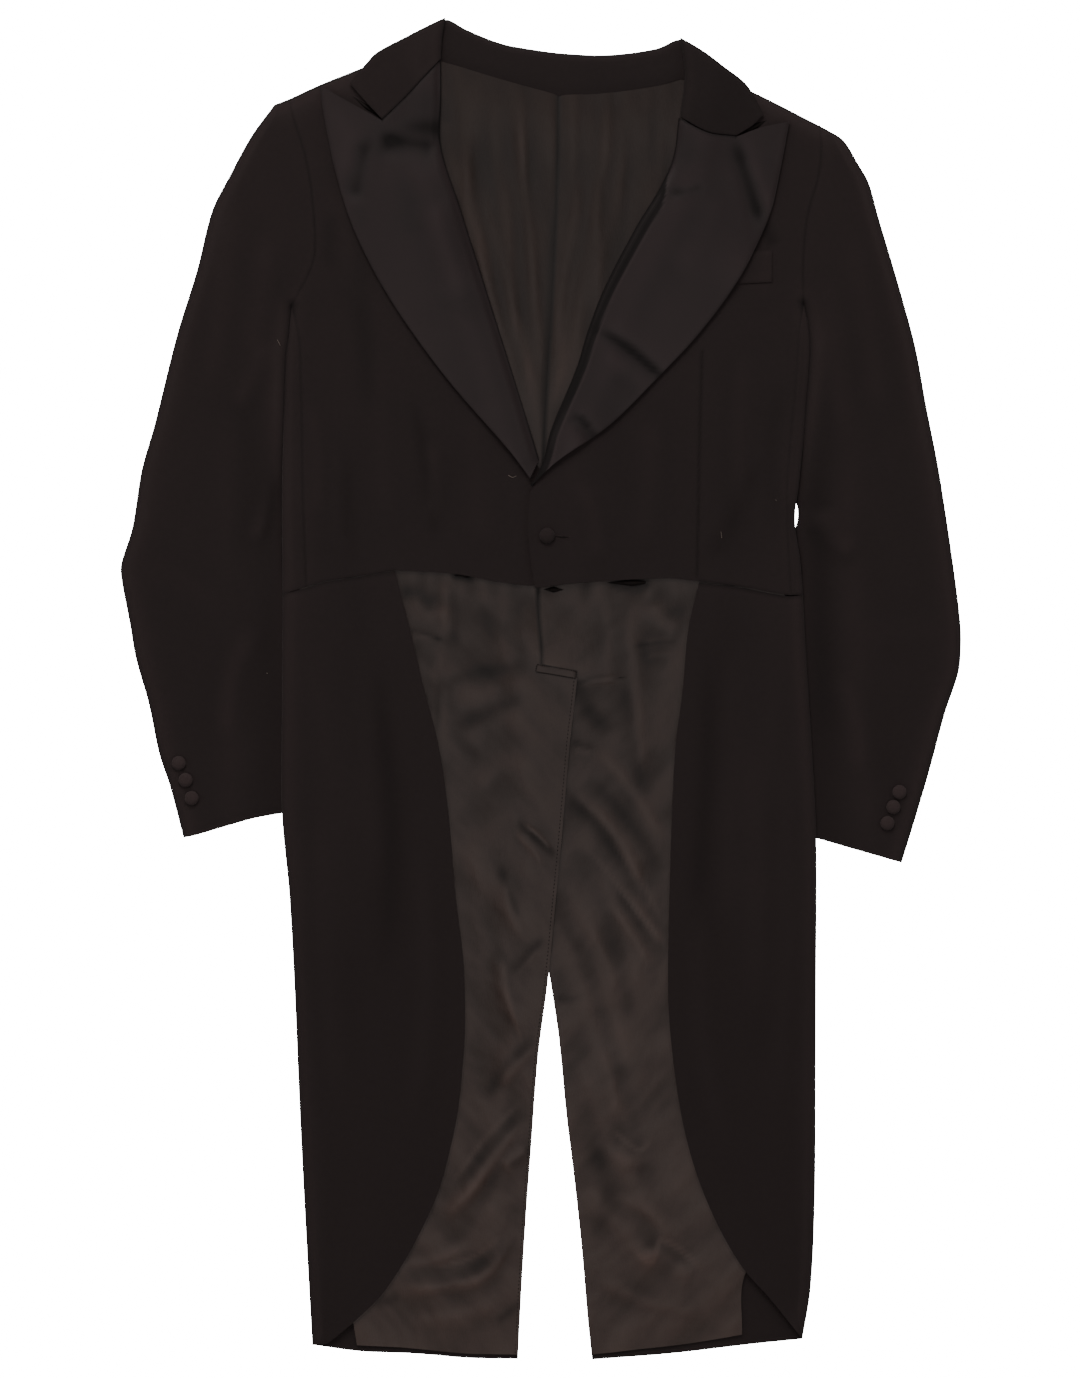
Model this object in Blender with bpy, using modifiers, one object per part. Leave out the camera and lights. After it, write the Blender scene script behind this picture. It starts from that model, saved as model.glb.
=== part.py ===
"""A white tie tailcoat, laid flat on its back with its front up.

Tables are in millimetres, seen from above: x to the viewer's right, y towards the collar, z up
from the surface it lies on. Right and left are the wearer's, so "right" is at minus x.
"""

import math

import bmesh
import bpy
import numpy as np

MM = 0.001

# Walls, as cloth with its canvas or lining
CLOTH = 1.5
LINING = 1.0
LAPEL = 1.8
WELT = 1.2
STAY = 0.9

# Clearances between pieces
SEAM_GAP = 0.4
LAYER_GAP = 0.5

# Heights of the body: the whole thickness between its back on the floor and its front on top
BODY_THICKNESS = 5.6
SKIRT_THICKNESS = 5.3
CHEST_FULLNESS = 1.4
SLEEVE_THICKNESS = 6.8
EDGE_THICKNESS = 2 * CLOTH + 0.4
WAIST = 100.0
LINING_CLEARANCE = 0.62
LINING_TOP = CLOTH + LINING_CLEARANCE + LINING
FOLD_REACH = 9.5
FOLD_STEPS = (0.0, 0.5, 2.0, 5.0, 9.5)
TURN_STEPS = (0.0, 0.5, 2.5)

# How far one layer is lifted over another that it crosses, and how gently
BODY_OVER_SLEEVE = EDGE_THICKNESS + 0.4
TAIL_OVER_TAIL = LINING_TOP + 0.45
BACK_OVER_FALL = CLOTH + 0.5
FRONT_OVER_FRONT = CLOTH + 0.7
LIFT_SLOPE = 60.0
SEAM_INSET = 6.0
FALL_INSET = 16.0

# Collar and lapels
COLLAR_FALL = 45.0
COLLAR_FOLD_REACH = 6.0
ROLL_REACH = 8.0
ROLL_DROP = 2.4
FACING_RISE = 0.9
# The fullness along the roll. Columns: distance from the roll, half width, height
ROLL_FULLNESS = (20.0, 14.0, 1.3)
# The left lapel rises over the inner end of the welt. Columns: x, y, half width, half length, height
RISE_OVER_WELT = (172.0, 360.0, 26.0, 30.0, 1.6)

# The fullness of the chest. Columns: y, half width, half length
CHEST = (330.0, 55.0, 110.0)
CHEST_X = {"right": -125.0, "left": 130.0}
# Ends of the stretches where the left front rises over the right one, by x and by y, and of the vent by y
FRONT_CROSSING = ((22.0, 72.0), (205.0, 260.0))
VENT_CROSSING = ((26.0, 84.0), (-420.0, -262.0))
SLEEVE_EASE = 45.0
SLEEVE_INSET = 4.0

# Small strips and buttons lie this far clear of what is under them
WELT_CLEARANCE = 0.3
TRIM_CLEARANCE = 0.35
UNDER_STRIP = 3.0
UNDER_BUTTON = 5.0

# Buttons
FRONT_BUTTON = (13.0, 3.6)
CUFF_BUTTON = (12.0, 3.2)
BUTTON_STEPS = 12

# Named lines of each half, from neck to hem unless a name says otherwise. Columns: x, y
LINES = {
    "right": {
        "shoulder": ((-92, 552), (-120, 542), (-147, 531), (-188, 514.5), (-214, 502.5)),
        "armhole": (
            (-214, 502.5), (-211, 488), (-201, 456), (-195, 423), (-192, 374), (-197, 354), (-212.5, 326),
        ),
        "side": ((-212.5, 326), (-215, 301), (-217.5, 280), (-219, 230), (-220.2, 161), (-219.5, 80.5)),
        "tail side": (
            (-219.5, 80.5), (-220.2, -20), (-220.2, -106), (-214.2, -172), (-210, -250), (-206, -345),
            (-203, -408), (-198, -501), (-194.7, -558),
        ),
        "side seam": ((-212.5, 326), (-206, 300), (-204, 262), (-202, 168), (-199, 87)),
        "side body seam": ((-197, 354), (-166, 312), (-122, 235), (-97, 160), (-88, 84)),
        "pleat seam": ((-88, 84), (-84, 0), (-84, -200), (-86, -400), (-88, -567)),
        "sleeve outer": (
            (-227, 497.5), (-247, 470), (-266, 435), (-280, 407), (-293, 356), (-310, 301), (-329, 225),
            (-340, 186), (-348, 137), (-357.5, 106), (-357, 93), (-350, 56), (-345, 27), (-334, -12),
            (-325, -55), (-316, -82), (-304.3, -126.4),
        ),
        "sleeve inner": (
            (-213.9, 326), (-216.4, 301), (-218.9, 280), (-220.4, 230), (-221.6, 161), (-221, 118),
            (-206, 20), (-184, -100),
        ),
        "cuff": ((-304.3, -126.4), (-293, -124), (-266, -116), (-240, -109), (-184, -100)),
        "waist": ((-219.5, 80.5), (-199, 86), (-185, 90.5), (-167, 93.5), (-144.5, 97), (-124, 100.5)),
        "front hem": ((-124, 100.5), (-76, 98), (-36, 91), (-4, 88), (14, 93)),
        "front edge": (
            (-92, 552), (-92, 500), (-91.5, 461), (-76, 410), (-51, 331), (-27, 255), (-7, 198), (10, 168),
            (17, 145), (18, 120), (14, 93),
        ),
        "cutaway": (
            (-124, 100.5), (-110, 45), (-101, 7), (-87.5, -46), (-79, -103), (-73, -172), (-66, -232),
            (-64.6, -282), (-66, -313), (-71, -360), (-79, -398), (-88, -429), (-101, -458), (-116, -486),
            (-135, -514), (-157, -536), (-181, -556),
        ),
        "roll": ((-85, 534), (-85, 500), (-85, 461), (-69, 410), (-44, 331), (-20, 255), (-1.5, 195)),
        "lapel edge": (
            (-188, 513), (-185, 491), (-174, 437), (-158, 388), (-128, 331), (-82, 266), (-26, 201),
            (-9.5, 179),
        ),
        "lapel peak": ((-188, 513), (-162, 498), (-135, 483)),
        "gorge": ((-135, 483.4), (-114, 503), (-100, 518), (-85, 534)),
        "collar top": ((-81, 570.6), (-112, 555), (-139.4, 540.7), (-148, 532), (-162.4, 514.5)),
        "collar end": ((-162.4, 514.5), (-149, 499), (-135, 484)),
        "collar inner": ((-81, 570.6), (-84, 552), (-85, 535)),
        "centre": ((15, 505), (13.6, 424), (9.4, 331), (4.3, 246), (0, 140), (-2.6, 84), (0.9, 21.5)),
        "vent edge": (
            (31.5, 15.5), (28.5, -12), (24.5, -46), (21, -87), (17, -133), (12.5, -180), (6, -247),
            (-2.5, -313),
            (-8.5, -392), (-12, -438), (-16, -501), (-19.6, -570),
        ),
        "hem": ((-194.7, -558), (-154, -564), (-114, -566), (-64, -570), (-19.6, -570.5)),
        "lining side": (
            (-198, 488), (-189, 456), (-183, 400), (-184, 356), (-198, 310), (-203, 230), (-205, 161),
            (-205, 82), (-206, -106), (-198, -190), (-193, -280), (-189, -390), (-184, -460), (-164, -518),
            (-156.5, -558),
        ),
        "lining shoulder": ((-198, 488), (-150, 512), (-92, 534)),
        "lining hem": ((-156.5, -559), (-114, -561), (-64, -565.5), (-19.6, -566)),
        "neck": ((-86, 534), (-70, 529.5), (-39, 520), (-9, 511.5), (15, 505)),
    },
    "left": {
        "shoulder": ((128, 537), (150, 524), (175, 511), (195.5, 501), (222.7, 487), (236.3, 480)),
        "armhole": ((236.3, 480), (238.5, 462), (236, 437), (226, 399), (222.7, 355), (223.6, 328)),
        "side": (
            (223.6, 328), (227.8, 309.6), (229.5, 287.5), (225.3, 234), (219, 172), (216, 150), (216.5, 134),
            (220, 112), (222.7, 80),
        ),
        "tail side": (
            (222.7, 80), (225.3, 29), (230.4, -52), (234, -127), (234, -250), (233.8, -345), (233, -438),
            (229.5, -510), (222.5, -553),
        ),
        "side seam": ((223.6, 328), (219.5, 300), (217, 262), (209, 168), (212, 80)),
        "side body seam": ((222.7, 355), (180, 312), (128, 235), (100, 160), (88, 84)),
        "pleat seam": ((88, 84), (84, 0), (86, -200), (92, -400), (98, -566.5)),
        "sleeve outer": (
            (244, 476), (257.6, 467), (270, 447), (279, 431), (287.5, 401), (298, 366), (309, 328),
            (319, 290),
            (328, 241), (337.5, 193), (344.5, 150), (353, 91), (357, 56), (357.5, 38), (355.5, 15),
            (344, -20),
            (331, -68), (320.5, -104), (307, -147.7),
        ),
        "sleeve inner": (
            (225.6, 328), (230.6, 309.6), (231.8, 287.5), (227.2, 234), (221.5, 172), (220.5, 140),
            (221.4, 112),
            (213, 30), (196, -117),
        ),
        "cuff": ((307, -147.7), (266, -136), (234.6, -127), (196, -117)),
        "waist": ((222.7, 80), (209, 79), (171, 86), (134.3, 91)),
        "front hem": ((134.3, 91), (111, 93.7), (60, 92), (27, 90), (-5, 86)),
        "front edge": (
            (128, 537), (127, 515), (124, 486), (119.5, 456), (112, 426), (92, 388), (70, 342), (52, 296),
            (36, 258), (17, 214), (4, 190), (-6, 175), (-9.4, 166), (-11, 137), (-9, 110), (-5, 86),
        ),
        "cutaway": (
            (134.3, 91), (125, 50), (120.7, 2), (114, -52), (111.4, -106), (109.7, -157), (108, -250),
            (110.5, -298),
            (119, -360), (131, -408), (149.6, -454), (171.7, -492), (193.8, -517), (222, -552),
        ),
        "roll": (
            (117, 485), (112.5, 452), (100, 424), (81.6, 394), (54.4, 342), (40, 305), (30.6, 274),
            (8.5, 220),
            (1.7, 194), (-7, 174.5),
        ),
        "lapel edge": (
            (210.8, 482), (204, 445), (195.5, 407), (184.5, 380), (165.8, 344.5), (133.5, 301), (97.8, 263),
            (57, 223), (13.6, 193), (-8.2, 172.5),
        ),
        "lapel peak": ((210.8, 482), (187, 477), (165.8, 469)),
        "gorge": ((165.8, 469.4), (141, 472.5), (117, 485)),
        "collar top": ((118, 553.6), (138.6, 541), (154.7, 529), (175, 512.8), (189, 488)),
        "collar end": ((189, 488), (180, 479), (165.8, 470)),
        "collar inner": ((118, 553.6), (122, 522), (118, 486)),
        "centre": ((15, 505), (13.6, 424), (9.4, 331), (4.3, 246), (0, 140), (-2.6, 84), (0.9, 21.5)),
        "vent edge": (
            (0.9, 21.5), (-2, -12), (-3, -80), (-1, -150), (3, -215), (9, -255), (15.3, -298), (21.3, -360),
            (27.2, -408), (34, -470), (40, -539), (43.4, -570.6),
        ),
        "hem": ((222.5, -553), (184.5, -557), (127.5, -564), (75, -568.2), (43.4, -570.6)),
        "lining side": (
            (220, 466), (219, 437), (209, 399), (207, 356), (211, 310), (210, 230), (203, 161), (207, 82),
            (217, -106), (219, -190), (219, -280), (218, -390), (202, -455), (173, -499), (171, -549),
        ),
        "lining shoulder": ((220, 466), (175, 495), (126, 518)),
        "lining hem": ((171, -553), (127.5, -559), (75, -563.4), (43.4, -566)),
        "neck": ((120, 518.5), (100, 513), (57, 507), (15, 505)),
    },
}

# The collar stand, one row for each station from right to left. Columns: seam x, seam y, top x, top y
COLLAR_STATIONS = (
    (-84.2, 534.5, -80.2, 570.0),
    (-69.7, 530.0, -64.0, 561.5),
    (-39.0, 520.6, -34.0, 549.5),
    (-9.4, 512.2, -5.0, 544.0),
    (15.0, 505.6, 19.0, 541.0),
    (57.0, 507.6, 56.0, 539.6),
    (100.0, 513.8, 98.0, 545.0),
    (117.3, 519.0, 117.6, 553.0),
)

# Where a sleeve's hidden inner edge lies under the body. Columns: y, right x, left x
SLEEVE_TUCK = ((200, -221, 221), (118, -221, 221.4), (20, -206, 212), (-110, -182, 197), (-300, -182, 197))
TUCK_TOP = (150.0, 260.0)
TUCK_FOOT = {"right": (-135.0, -275.0), "left": (-158.0, -300.0)}

# Soft folds that stand up from a panel. Columns: panel, x0, y0, x1, y1, half width, height
FOLDS = (
    ("right lining", -60, 440, -8, 215, 9, 0.7),
    ("right lining", -42, 450, 0, 225, 6, 0.6),
    ("right lining", -18, 480, 3, 250, 7, 0.6),
    ("left lining", 60, 460, 14, 235, 9, 0.7),
    ("left lining", 92, 430, 22, 235, 8, 0.6),
    ("left lining", 34, 470, 9, 250, 6, 0.5),
    ("right lining", -17, -363, -84, -450, 9, 1.6),
    ("right lining", -22, -465, -120, -512, 8, 1.2),
    ("right lining", -41, -227, -17, -290, 8, 1.2),
    ("right lining", -20, -115, 6, -140, 6, 1.3),
    ("right lining", -70, 0, -5, -42, 16, 1.4),
    ("right lining", -76, 62, -98, 28, 9, 1.4),
    ("right lining", -30, -157, -17, -211, 8, 1.0),
    ("left lining", 34, -96, 86, -178, 9, 1.5),
    ("left lining", 48, -52, 106, -134, 8, 1.2),
    ("left lining", 57, -180, 102, -236, 7, 1.1),
    ("left lining", 73, 80, 84, -90, 8, 1.4),
    ("left lining", 32, 6, 70, 10, 6, 1.2),
    ("left lining", 92, 62, 112, 40, 8, 1.3),
    ("left lining", 80, -488, 128, -500, 8, 0.9),
    ("right front", -168, 218, -166, 100, 7, 0.8),
    ("right front", -95, 212, -93, 140, 7, 0.7),
    ("left front", 136, 288, 133, 100, 4, -0.5),
    ("right sleeve", -222, 178, -246, 122, 9, 1.0),
    ("right sleeve", -340, 120, -250, 90, 12, 0.9),
    ("left sleeve", 340, 60, 262, 84, 12, 0.9),
    ("left sleeve", 236, 150, 262, 118, 9, 0.8),
    ("right lapel", -140, 486, -92, 466, 11, -1.1),
    ("left lapel", 166, 466, 187, 398, 9, -0.7),
    ("left lapel", 60, 300, 98, 266, 8, -0.6),
)

# Corners of the small strips, from the top of the inner end round to its foot
WELT_CORNERS = np.array(((152, 370.5), (196.4, 373.5), (196.4, 346), (152, 343.5)))
STAY_CORNERS = np.array(((-3.5, 21.0), (30.3, 15.2), (29.6, 9.0), (-4.5, 14.8)))

FRONT_BUTTON_PLACE = (5.1, 130.3)
CUFF_BUTTON_PLACES = {
    "right": ((-307.7, -62.7), (-301.8, -77.1), (-296.7, -92.4)),
    "left": ((304.3, -87.3), (299.2, -100.0), (294.1, -113.7)),
}
# Columns: share of the radius, share of the height
BUTTON_PROFILE = ((0, 1), (0.5, 0.95), (0.82, 0.78), (1, 0.4), (0.88, 0), (0, 0))

COLOURS = {
    "wool": (0.011, 0.009, 0.0085, 1.0),
    "satin": (0.021, 0.016, 0.017, 1.0),
    "lining": (0.030, 0.022, 0.019, 1.0),
}
ROUGHNESS = {"wool": 0.9, "satin": 0.45, "lining": 0.5}

# Shares of an edge's length at which a panel has its sections
SIDE_ROWS = (0.0, 0.05, 0.14, 0.28, 0.42, 0.56, 0.7, 0.85, 1.0)

# Heights of the sections of the back and the lining below the waist, close together at the top of the vent
VENT_TOP = 21.5
TAIL_HEIGHTS = (68, 52, 36, VENT_TOP, 20.5, -12, -50, -90, -135, -180, -225, -270, -320, -375, -430, -485, -530)
LINING_HEIGHTS = (470, 440, 408, 376, 344, 312, 280, 248, 216, 184, 152, 126, 104, 84)
BACK_COLUMNS = (0.0, 0.2, 0.4, 0.45, 0.63, 0.82, 1.0)
LAPEL_COLUMNS = (0.0, 0.17, 0.34, 0.5, 0.66, 0.8, 0.9, 0.96, 0.99, 1.0)
COLLAR_COLUMNS = (0.0, 0.015, 0.05, 0.12, 0.3, 0.5, 0.7, 0.86, 1.0)
ARMHOLE_ROWS = (0.0, 0.03, 0.09, 0.2, 0.36, 0.52, 0.67, 0.825, 0.91, 1.0)
BACK_ARMHOLE_ROWS = 8


def even(count):
    return tuple(k / count for k in range(count + 1))


def drawn(points, steps=10):
    """A smooth line through the points, as many short straights."""
    points = np.array(points, float)
    if len(points) == 2:
        return points
    before = np.vstack([2 * points[0] - points[1], points, 2 * points[-1] - points[-2]])
    line = []
    for k in range(len(points) - 1):
        p0, p1, p2, p3 = before[k : k + 4]
        gap = np.linalg.norm(p2 - p1)
        start = (p2 - p0) / (np.linalg.norm(p1 - p0) + gap) * gap
        end = (p3 - p1) / (np.linalg.norm(p3 - p2) + gap) * gap
        for t in np.arange(steps) / steps:
            line.append(
                (2 * t**3 - 3 * t**2 + 1) * p1 + (t**3 - 2 * t**2 + t) * start
                + (3 * t**2 - 2 * t**3) * p2 + (t**3 - t**2) * end
            )
    return np.array([*line, points[-1]])


def lengths(line):
    steps = np.linalg.norm(np.diff(line, axis=0), axis=1)
    return np.concatenate([[0.0], np.cumsum(steps)])


def at(line, shares):
    """Points of a line at the given shares of its length."""
    run = lengths(line)
    where = np.array(shares) * run[-1]
    return np.stack([np.interp(where, run, line[:, k]) for k in range(2)], axis=-1)


def rail(side, *stretches):
    """Points down a panel's edge. Each stretch is a line's name, the shares of it for rows, and a part of it."""
    found = []
    for name, shares, *part in stretches:
        start, end = part or (0.0, 1.0)
        points = at(drawn(LINES[side][name]), start + np.array(shares) * (end - start))
        found.extend(points if not found else points[1:])
    return np.array(found)


def matching(side, name, master):
    """Points down a line at the same shares of its length as the rows of another edge."""
    run = lengths(master)
    return at(drawn(LINES[side][name]), run / run[-1])


def smooth(share):
    share = min(max(share, 0.0), 1.0)
    return share * share * (3 - 2 * share)


def distance(line, x, y):
    start, along = line[:-1], np.diff(line, axis=0)
    point = np.array((x, y))
    share = ((point - start) * along).sum(axis=1) / np.maximum((along**2).sum(axis=1), 1e-9)
    nearest = start + np.clip(share, 0, 1)[:, None] * along
    return float(np.sqrt(((point - nearest) ** 2).sum(axis=1).min()))


def rounding(gap, reach=FOLD_REACH):
    """From 0 at a folded edge to 1 where the cloth is level again, as a quarter of an ellipse."""
    share = 1 - min(max(gap / reach, 0.0), 1.0)
    return math.sqrt(1 - share * share)


def ridge(x, y, x0, y0, x1, y1, half_width, height):
    """A soft fold from one point to another that fades out at its ends."""
    along = np.array((x1 - x0, y1 - y0), float)
    length = np.linalg.norm(along)
    along = along / length
    offset = np.array((x - x0, y - y0))
    run = float(offset @ along) / length
    across = float(offset[0] * along[1] - offset[1] * along[0])
    ends = smooth(run * 5 + 0.5) * smooth((1 - run) * 5 + 0.5)
    return height * math.exp(-((across / half_width) ** 2)) * ends


def folds(panel, x, y):
    return sum(ridge(x, y, *fold) for name, *fold in FOLDS if name == panel)


OUTLINES = {
    side: {
        "body": [drawn(lines[name]) for name in ("shoulder", "side", "tail side", "sleeve outer")],
        "sleeve": [drawn(lines[name]) for name in ("shoulder", "sleeve inner", "sleeve outer")]
        + [np.array([lines["shoulder"][-1], lines["sleeve outer"][0]], float)],
    }
    for side, lines in LINES.items()
}
SMOOTH_LINES = {
    side: {name: drawn(points) for name, points in lines.items()} for side, lines in LINES.items()
}
NECK_SEAM = drawn([station[:2] for station in COLLAR_STATIONS])


def edge_gap(side, kind, x, y):
    return min(distance(line, x, y) for line in OUTLINES[side][kind])


def tuck_x(side, y):
    heights, right, left = zip(*reversed(SLEEVE_TUCK))
    return float(np.interp(y, heights, right if side == "right" else left))


def outwards(side, x, inner_x):
    """How far x lies outside another x, away from the middle of the coat."""
    return inner_x - x if side == "right" else x - inner_x


def tuck_reach(side, y):
    """1 where the sleeve lies under the body's side, 0 well above and below it."""
    foot, end = TUCK_FOOT[side]
    return smooth((TUCK_TOP[1] - y) / (TUCK_TOP[1] - TUCK_TOP[0])) * smooth((y - end) / (foot - end))


def body_lift(side, x, y):
    """How far the body is lifted off the floor: by the sleeve under its side and by the collar's fall."""
    inside = -outwards(side, x, tuck_x(side, y))
    over_sleeve = BODY_OVER_SLEEVE * smooth(1 - (inside - SEAM_INSET) / LIFT_SLOPE) * tuck_reach(side, y)
    over_fall = BACK_OVER_FALL * smooth(1 - (distance(NECK_SEAM, x, y) - FALL_INSET) / LIFT_SLOPE)
    return over_sleeve + over_fall


def vent_lift(side, x, y):
    """The right tail crosses over the left one above the vent's foot."""
    if side == "left":
        return 0.0
    (top_end, top), (foot, foot_end) = VENT_CROSSING
    along = smooth((top - y) / (top - top_end)) * smooth((y - foot) / (foot_end - foot))
    return TAIL_OVER_TAIL * smooth((x + LIFT_SLOPE + 2) / LIFT_SLOPE) * along


def body_thickness(side, x, y):
    """Between the back's underside and the front's top."""
    chest_y, half_width, half_length = CHEST
    full = math.exp(-(((x - CHEST_X[side]) / half_width) ** 2) - ((y - chest_y) / half_length) ** 2)
    below_waist = smooth((WAIST - y) / WAIST)
    return BODY_THICKNESS + CHEST_FULLNESS * full - (BODY_THICKNESS - SKIRT_THICKNESS) * below_waist


def front_top(side, x, y):
    """Top of the forepart, side body and skirt, rounded down to two layers at a folded edge."""
    gap = rounding(edge_gap(side, "body", x, y))
    height = body_lift(side, x, y) + EDGE_THICKNESS + (body_thickness(side, x, y) - EDGE_THICKNESS) * gap
    if side == "left":
        (x_end, x_start), (y_end, y_start) = FRONT_CROSSING
        across = smooth((x_start - x) / (x_start - x_end))
        height += FRONT_OVER_FRONT * across * smooth((y_start - y) / (y_start - y_end))
    return height + folds(side + " front", x, y)


def back_under(side, x, y):
    """Underside of the back, and of the side body and skirt where they turn under."""
    return body_lift(side, x, y) + vent_lift(side, x, y)


def lining_top(side, x, y):
    return LINING_TOP + body_lift(side, x, y) + vent_lift(side, x, y) + folds(side + " lining", x, y)


def sleeve_thickness(side, x, y):
    """Full in the middle, as thick as the body at the armhole, and flat where it lies under the body."""
    from_armhole = distance(SMOOTH_LINES[side]["armhole"], x, y)
    full = BODY_THICKNESS + (SLEEVE_THICKNESS - BODY_THICKNESS) * smooth(from_armhole / SLEEVE_EASE)
    line = np.vstack([SMOOTH_LINES[side]["side"], SMOOTH_LINES[side]["tail side"]])
    outside = outwards(side, x, float(np.interp(-y, -line[:, 1], line[:, 0])))
    tucked = EDGE_THICKNESS + (full - EDGE_THICKNESS) * smooth((outside - SLEEVE_INSET) / SLEEVE_EASE)
    return full + (tucked - full) * tuck_reach(side, y)


def sleeve_top(side, x, y):
    gap = rounding(edge_gap(side, "sleeve", x, y))
    height = EDGE_THICKNESS + (sleeve_thickness(side, x, y) - EDGE_THICKNESS) * gap
    return height + folds(side + " sleeve", x, y) * (1 - tuck_reach(side, y)) * gap


def floor(side, x, y):
    return 0.0


def over(surface, side, x, y, reach=UNDER_STRIP):
    """The height of a surface under a piece that lies on it, a little beyond the point as well."""
    around = [(0, 0), (reach, 0), (-reach, 0), (0, reach), (0, -reach)]
    return max(surface(side, x + dx, y + dy) for dx, dy in around)


def lapel_top(side, x, y):
    """The lapel lies on the forepart and rolls down to the lining along its inner edge."""
    roll = distance(SMOOTH_LINES[side]["roll"], x, y)
    height = over(front_top, side, x, y) + LAYER_GAP + LAPEL + FACING_RISE + folds(side + " lapel", x, y)
    crest, spread, full = ROLL_FULLNESS
    height += full * math.exp(-(((roll - crest) / spread) ** 2))
    if side == "left":
        welt_x, welt_y, half_width, half_length, rise = RISE_OVER_WELT
        height += rise * math.exp(-(((x - welt_x) / half_width) ** 2) - ((y - welt_y) / half_length) ** 2)
    return height - ROLL_DROP * (1 - rounding(roll, ROLL_REACH))


def collar_top(side, x, y):
    inner = distance(SMOOTH_LINES[side]["collar inner"], x, y)
    height = over(front_top, side, x, y) + LAYER_GAP + LAPEL + FACING_RISE
    return height - ROLL_DROP * (1 - rounding(inner, ROLL_REACH))


def columns(count):
    return lambda width: even(count)


def fold_columns(count, first=(0.0,), last=(0.0,)):
    """Shares across a panel of a given width, with its own steps in from each edge."""

    def shares(width):
        shrink = min(1.0, 0.4 * width / FOLD_REACH)
        start = [step * shrink / width for step in first]
        end = [1 - step * shrink / width for step in reversed(last)]
        return [*start, *np.linspace(start[-1], end[0], count + 1)[1:-1], *end]

    return shares


def part_of(points, start, end):
    """Part of a line, from one share of its length to another."""
    return at(drawn(points), start + np.array(even(12)) * (end - start))


def panel(first, last, across_for, top=None, bottom=None):
    """Sections from one edge to the other. The bow of the top and bottom edges fades towards the middle."""
    share = lengths(first) / lengths(first)[-1]
    rows = []
    for start, end, down in zip(first, last, share):
        width = max(np.linalg.norm(end - start), 1.0)
        across = np.array(across_for(width))
        section = start + across[:, None] * (end - start)
        for edge, fade in ((top, (1 - down) ** 2), (bottom, down**2)):
            if edge is not None:
                line = edge(across) if callable(edge) else at(edge, across)
                section = section + fade * (line - line[0] - across[:, None] * (line[-1] - line[0]))
        rows.append(section)
    return np.array(rows)


def drawn_in(grid, gap=SEAM_GAP / 2, edges="first last top bottom"):
    """The same grid with its outer edges moved in by half a seam's gap."""
    grid = grid.copy()
    pairs = {
        "first": (grid[:, 0], grid[:, 1]), "last": (grid[:, -1], grid[:, -2]),
        "top": (grid[0], grid[1]), "bottom": (grid[-1], grid[-2]),
    }
    for name in edges.split():
        edge, inner = pairs[name]
        step = inner - edge
        edge += step * np.minimum(gap / np.maximum(np.linalg.norm(step, axis=-1), 1e-6), 0.45)[..., None]
    return grid


def raised(grid, surface, side):
    """Adds the height of a surface to every point of a flat grid."""
    heights = [[surface(side, x, y) for x, y in row] for row in grid]
    return np.concatenate([grid, np.array(heights)[..., None]], axis=-1)


def material(kind, name):
    finish = bpy.data.materials.new(name)
    finish.use_nodes = True
    shader = finish.node_tree.nodes["Principled BSDF"]
    shader.inputs["Base Color"].default_value = COLOURS[kind]
    shader.inputs["Roughness"].default_value = ROUGHNESS[kind]
    shader.inputs["Metallic"].default_value = 0.0
    return finish


def named_object(name, mesh, kind):
    mesh.materials.append(material(kind, name))
    piece = bpy.data.objects.new(name, mesh)
    bpy.data.collections["tailcoat"].objects.link(piece)
    return piece


def cloth(name, points, wall, kind, outside=1):
    """A sheet of cloth from its outer face. The wall goes inwards. Outside is 1 for a face that looks up."""
    rows, count = points.shape[:2]
    shape = bmesh.new()
    bmesh.ops.create_grid(shape, x_segments=count - 1, y_segments=rows - 1, size=0.5)
    first_x = (1.5 - 0.5 * count) / (count - 1)
    first_column = [face for face in shape.faces if face.calc_center_median().x < first_x]
    for vert in shape.verts:
        column = round((vert.co.x + 0.5) * (count - 1))
        row = round((vert.co.y + 0.5) * (rows - 1))
        vert.co = points[row, column] * MM
    shape.normal_update()
    if sum(face.normal.z * face.calc_area() for face in first_column) * outside < 0:
        bmesh.ops.reverse_faces(shape, faces=shape.faces)
    mesh = bpy.data.meshes.new(name)
    shape.to_mesh(mesh)
    shape.free()
    mesh.shade_smooth()
    piece = named_object(name, mesh, kind)
    thickness = piece.modifiers.new("Wall", "SOLIDIFY")
    thickness.thickness = wall * MM
    thickness.offset = -1
    return piece


def at_heights(line, heights):
    """Points of a line that runs down the coat, at the given heights."""
    return np.stack([np.interp(-np.array(heights), -line[:, 1], line[:, 0]), heights], axis=-1)


def centre_edge(side, outer):
    """The centre seam down to the vent, then the tail's own edge, level with the outer edge's sections."""
    seam, vent = SMOOTH_LINES[side]["centre"], SMOOTH_LINES[side]["vent edge"]
    waist, neck = LINING_HEIGHTS[-1], seam[0, 1]
    stretch = (neck - waist) / (outer[0, 1] - waist)
    inner = []
    for _, y in outer:
        level = waist + (y - waist) * stretch if y > waist else y
        line = seam if y >= VENT_TOP else vent
        level = float(np.clip(level, line[-1, 1], line[0, 1]))
        inner.append(at_heights(line, [level])[0])
    inner[-1] = vent[-1]
    return np.array(inner)


def cornered(lines, breaks):
    """An edge with corners: each line takes the columns between two breaks."""

    def edge(shares):
        shares = np.array(shares)
        found = at(lines[0], np.zeros(len(shares)))
        for line, start, end in zip(lines, breaks, breaks[1:]):
            part = at(line, np.clip((shares - start) / (end - start), 0, 1))
            found = np.where((shares > start)[:, None], part, found)
        return found

    return edge


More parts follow.
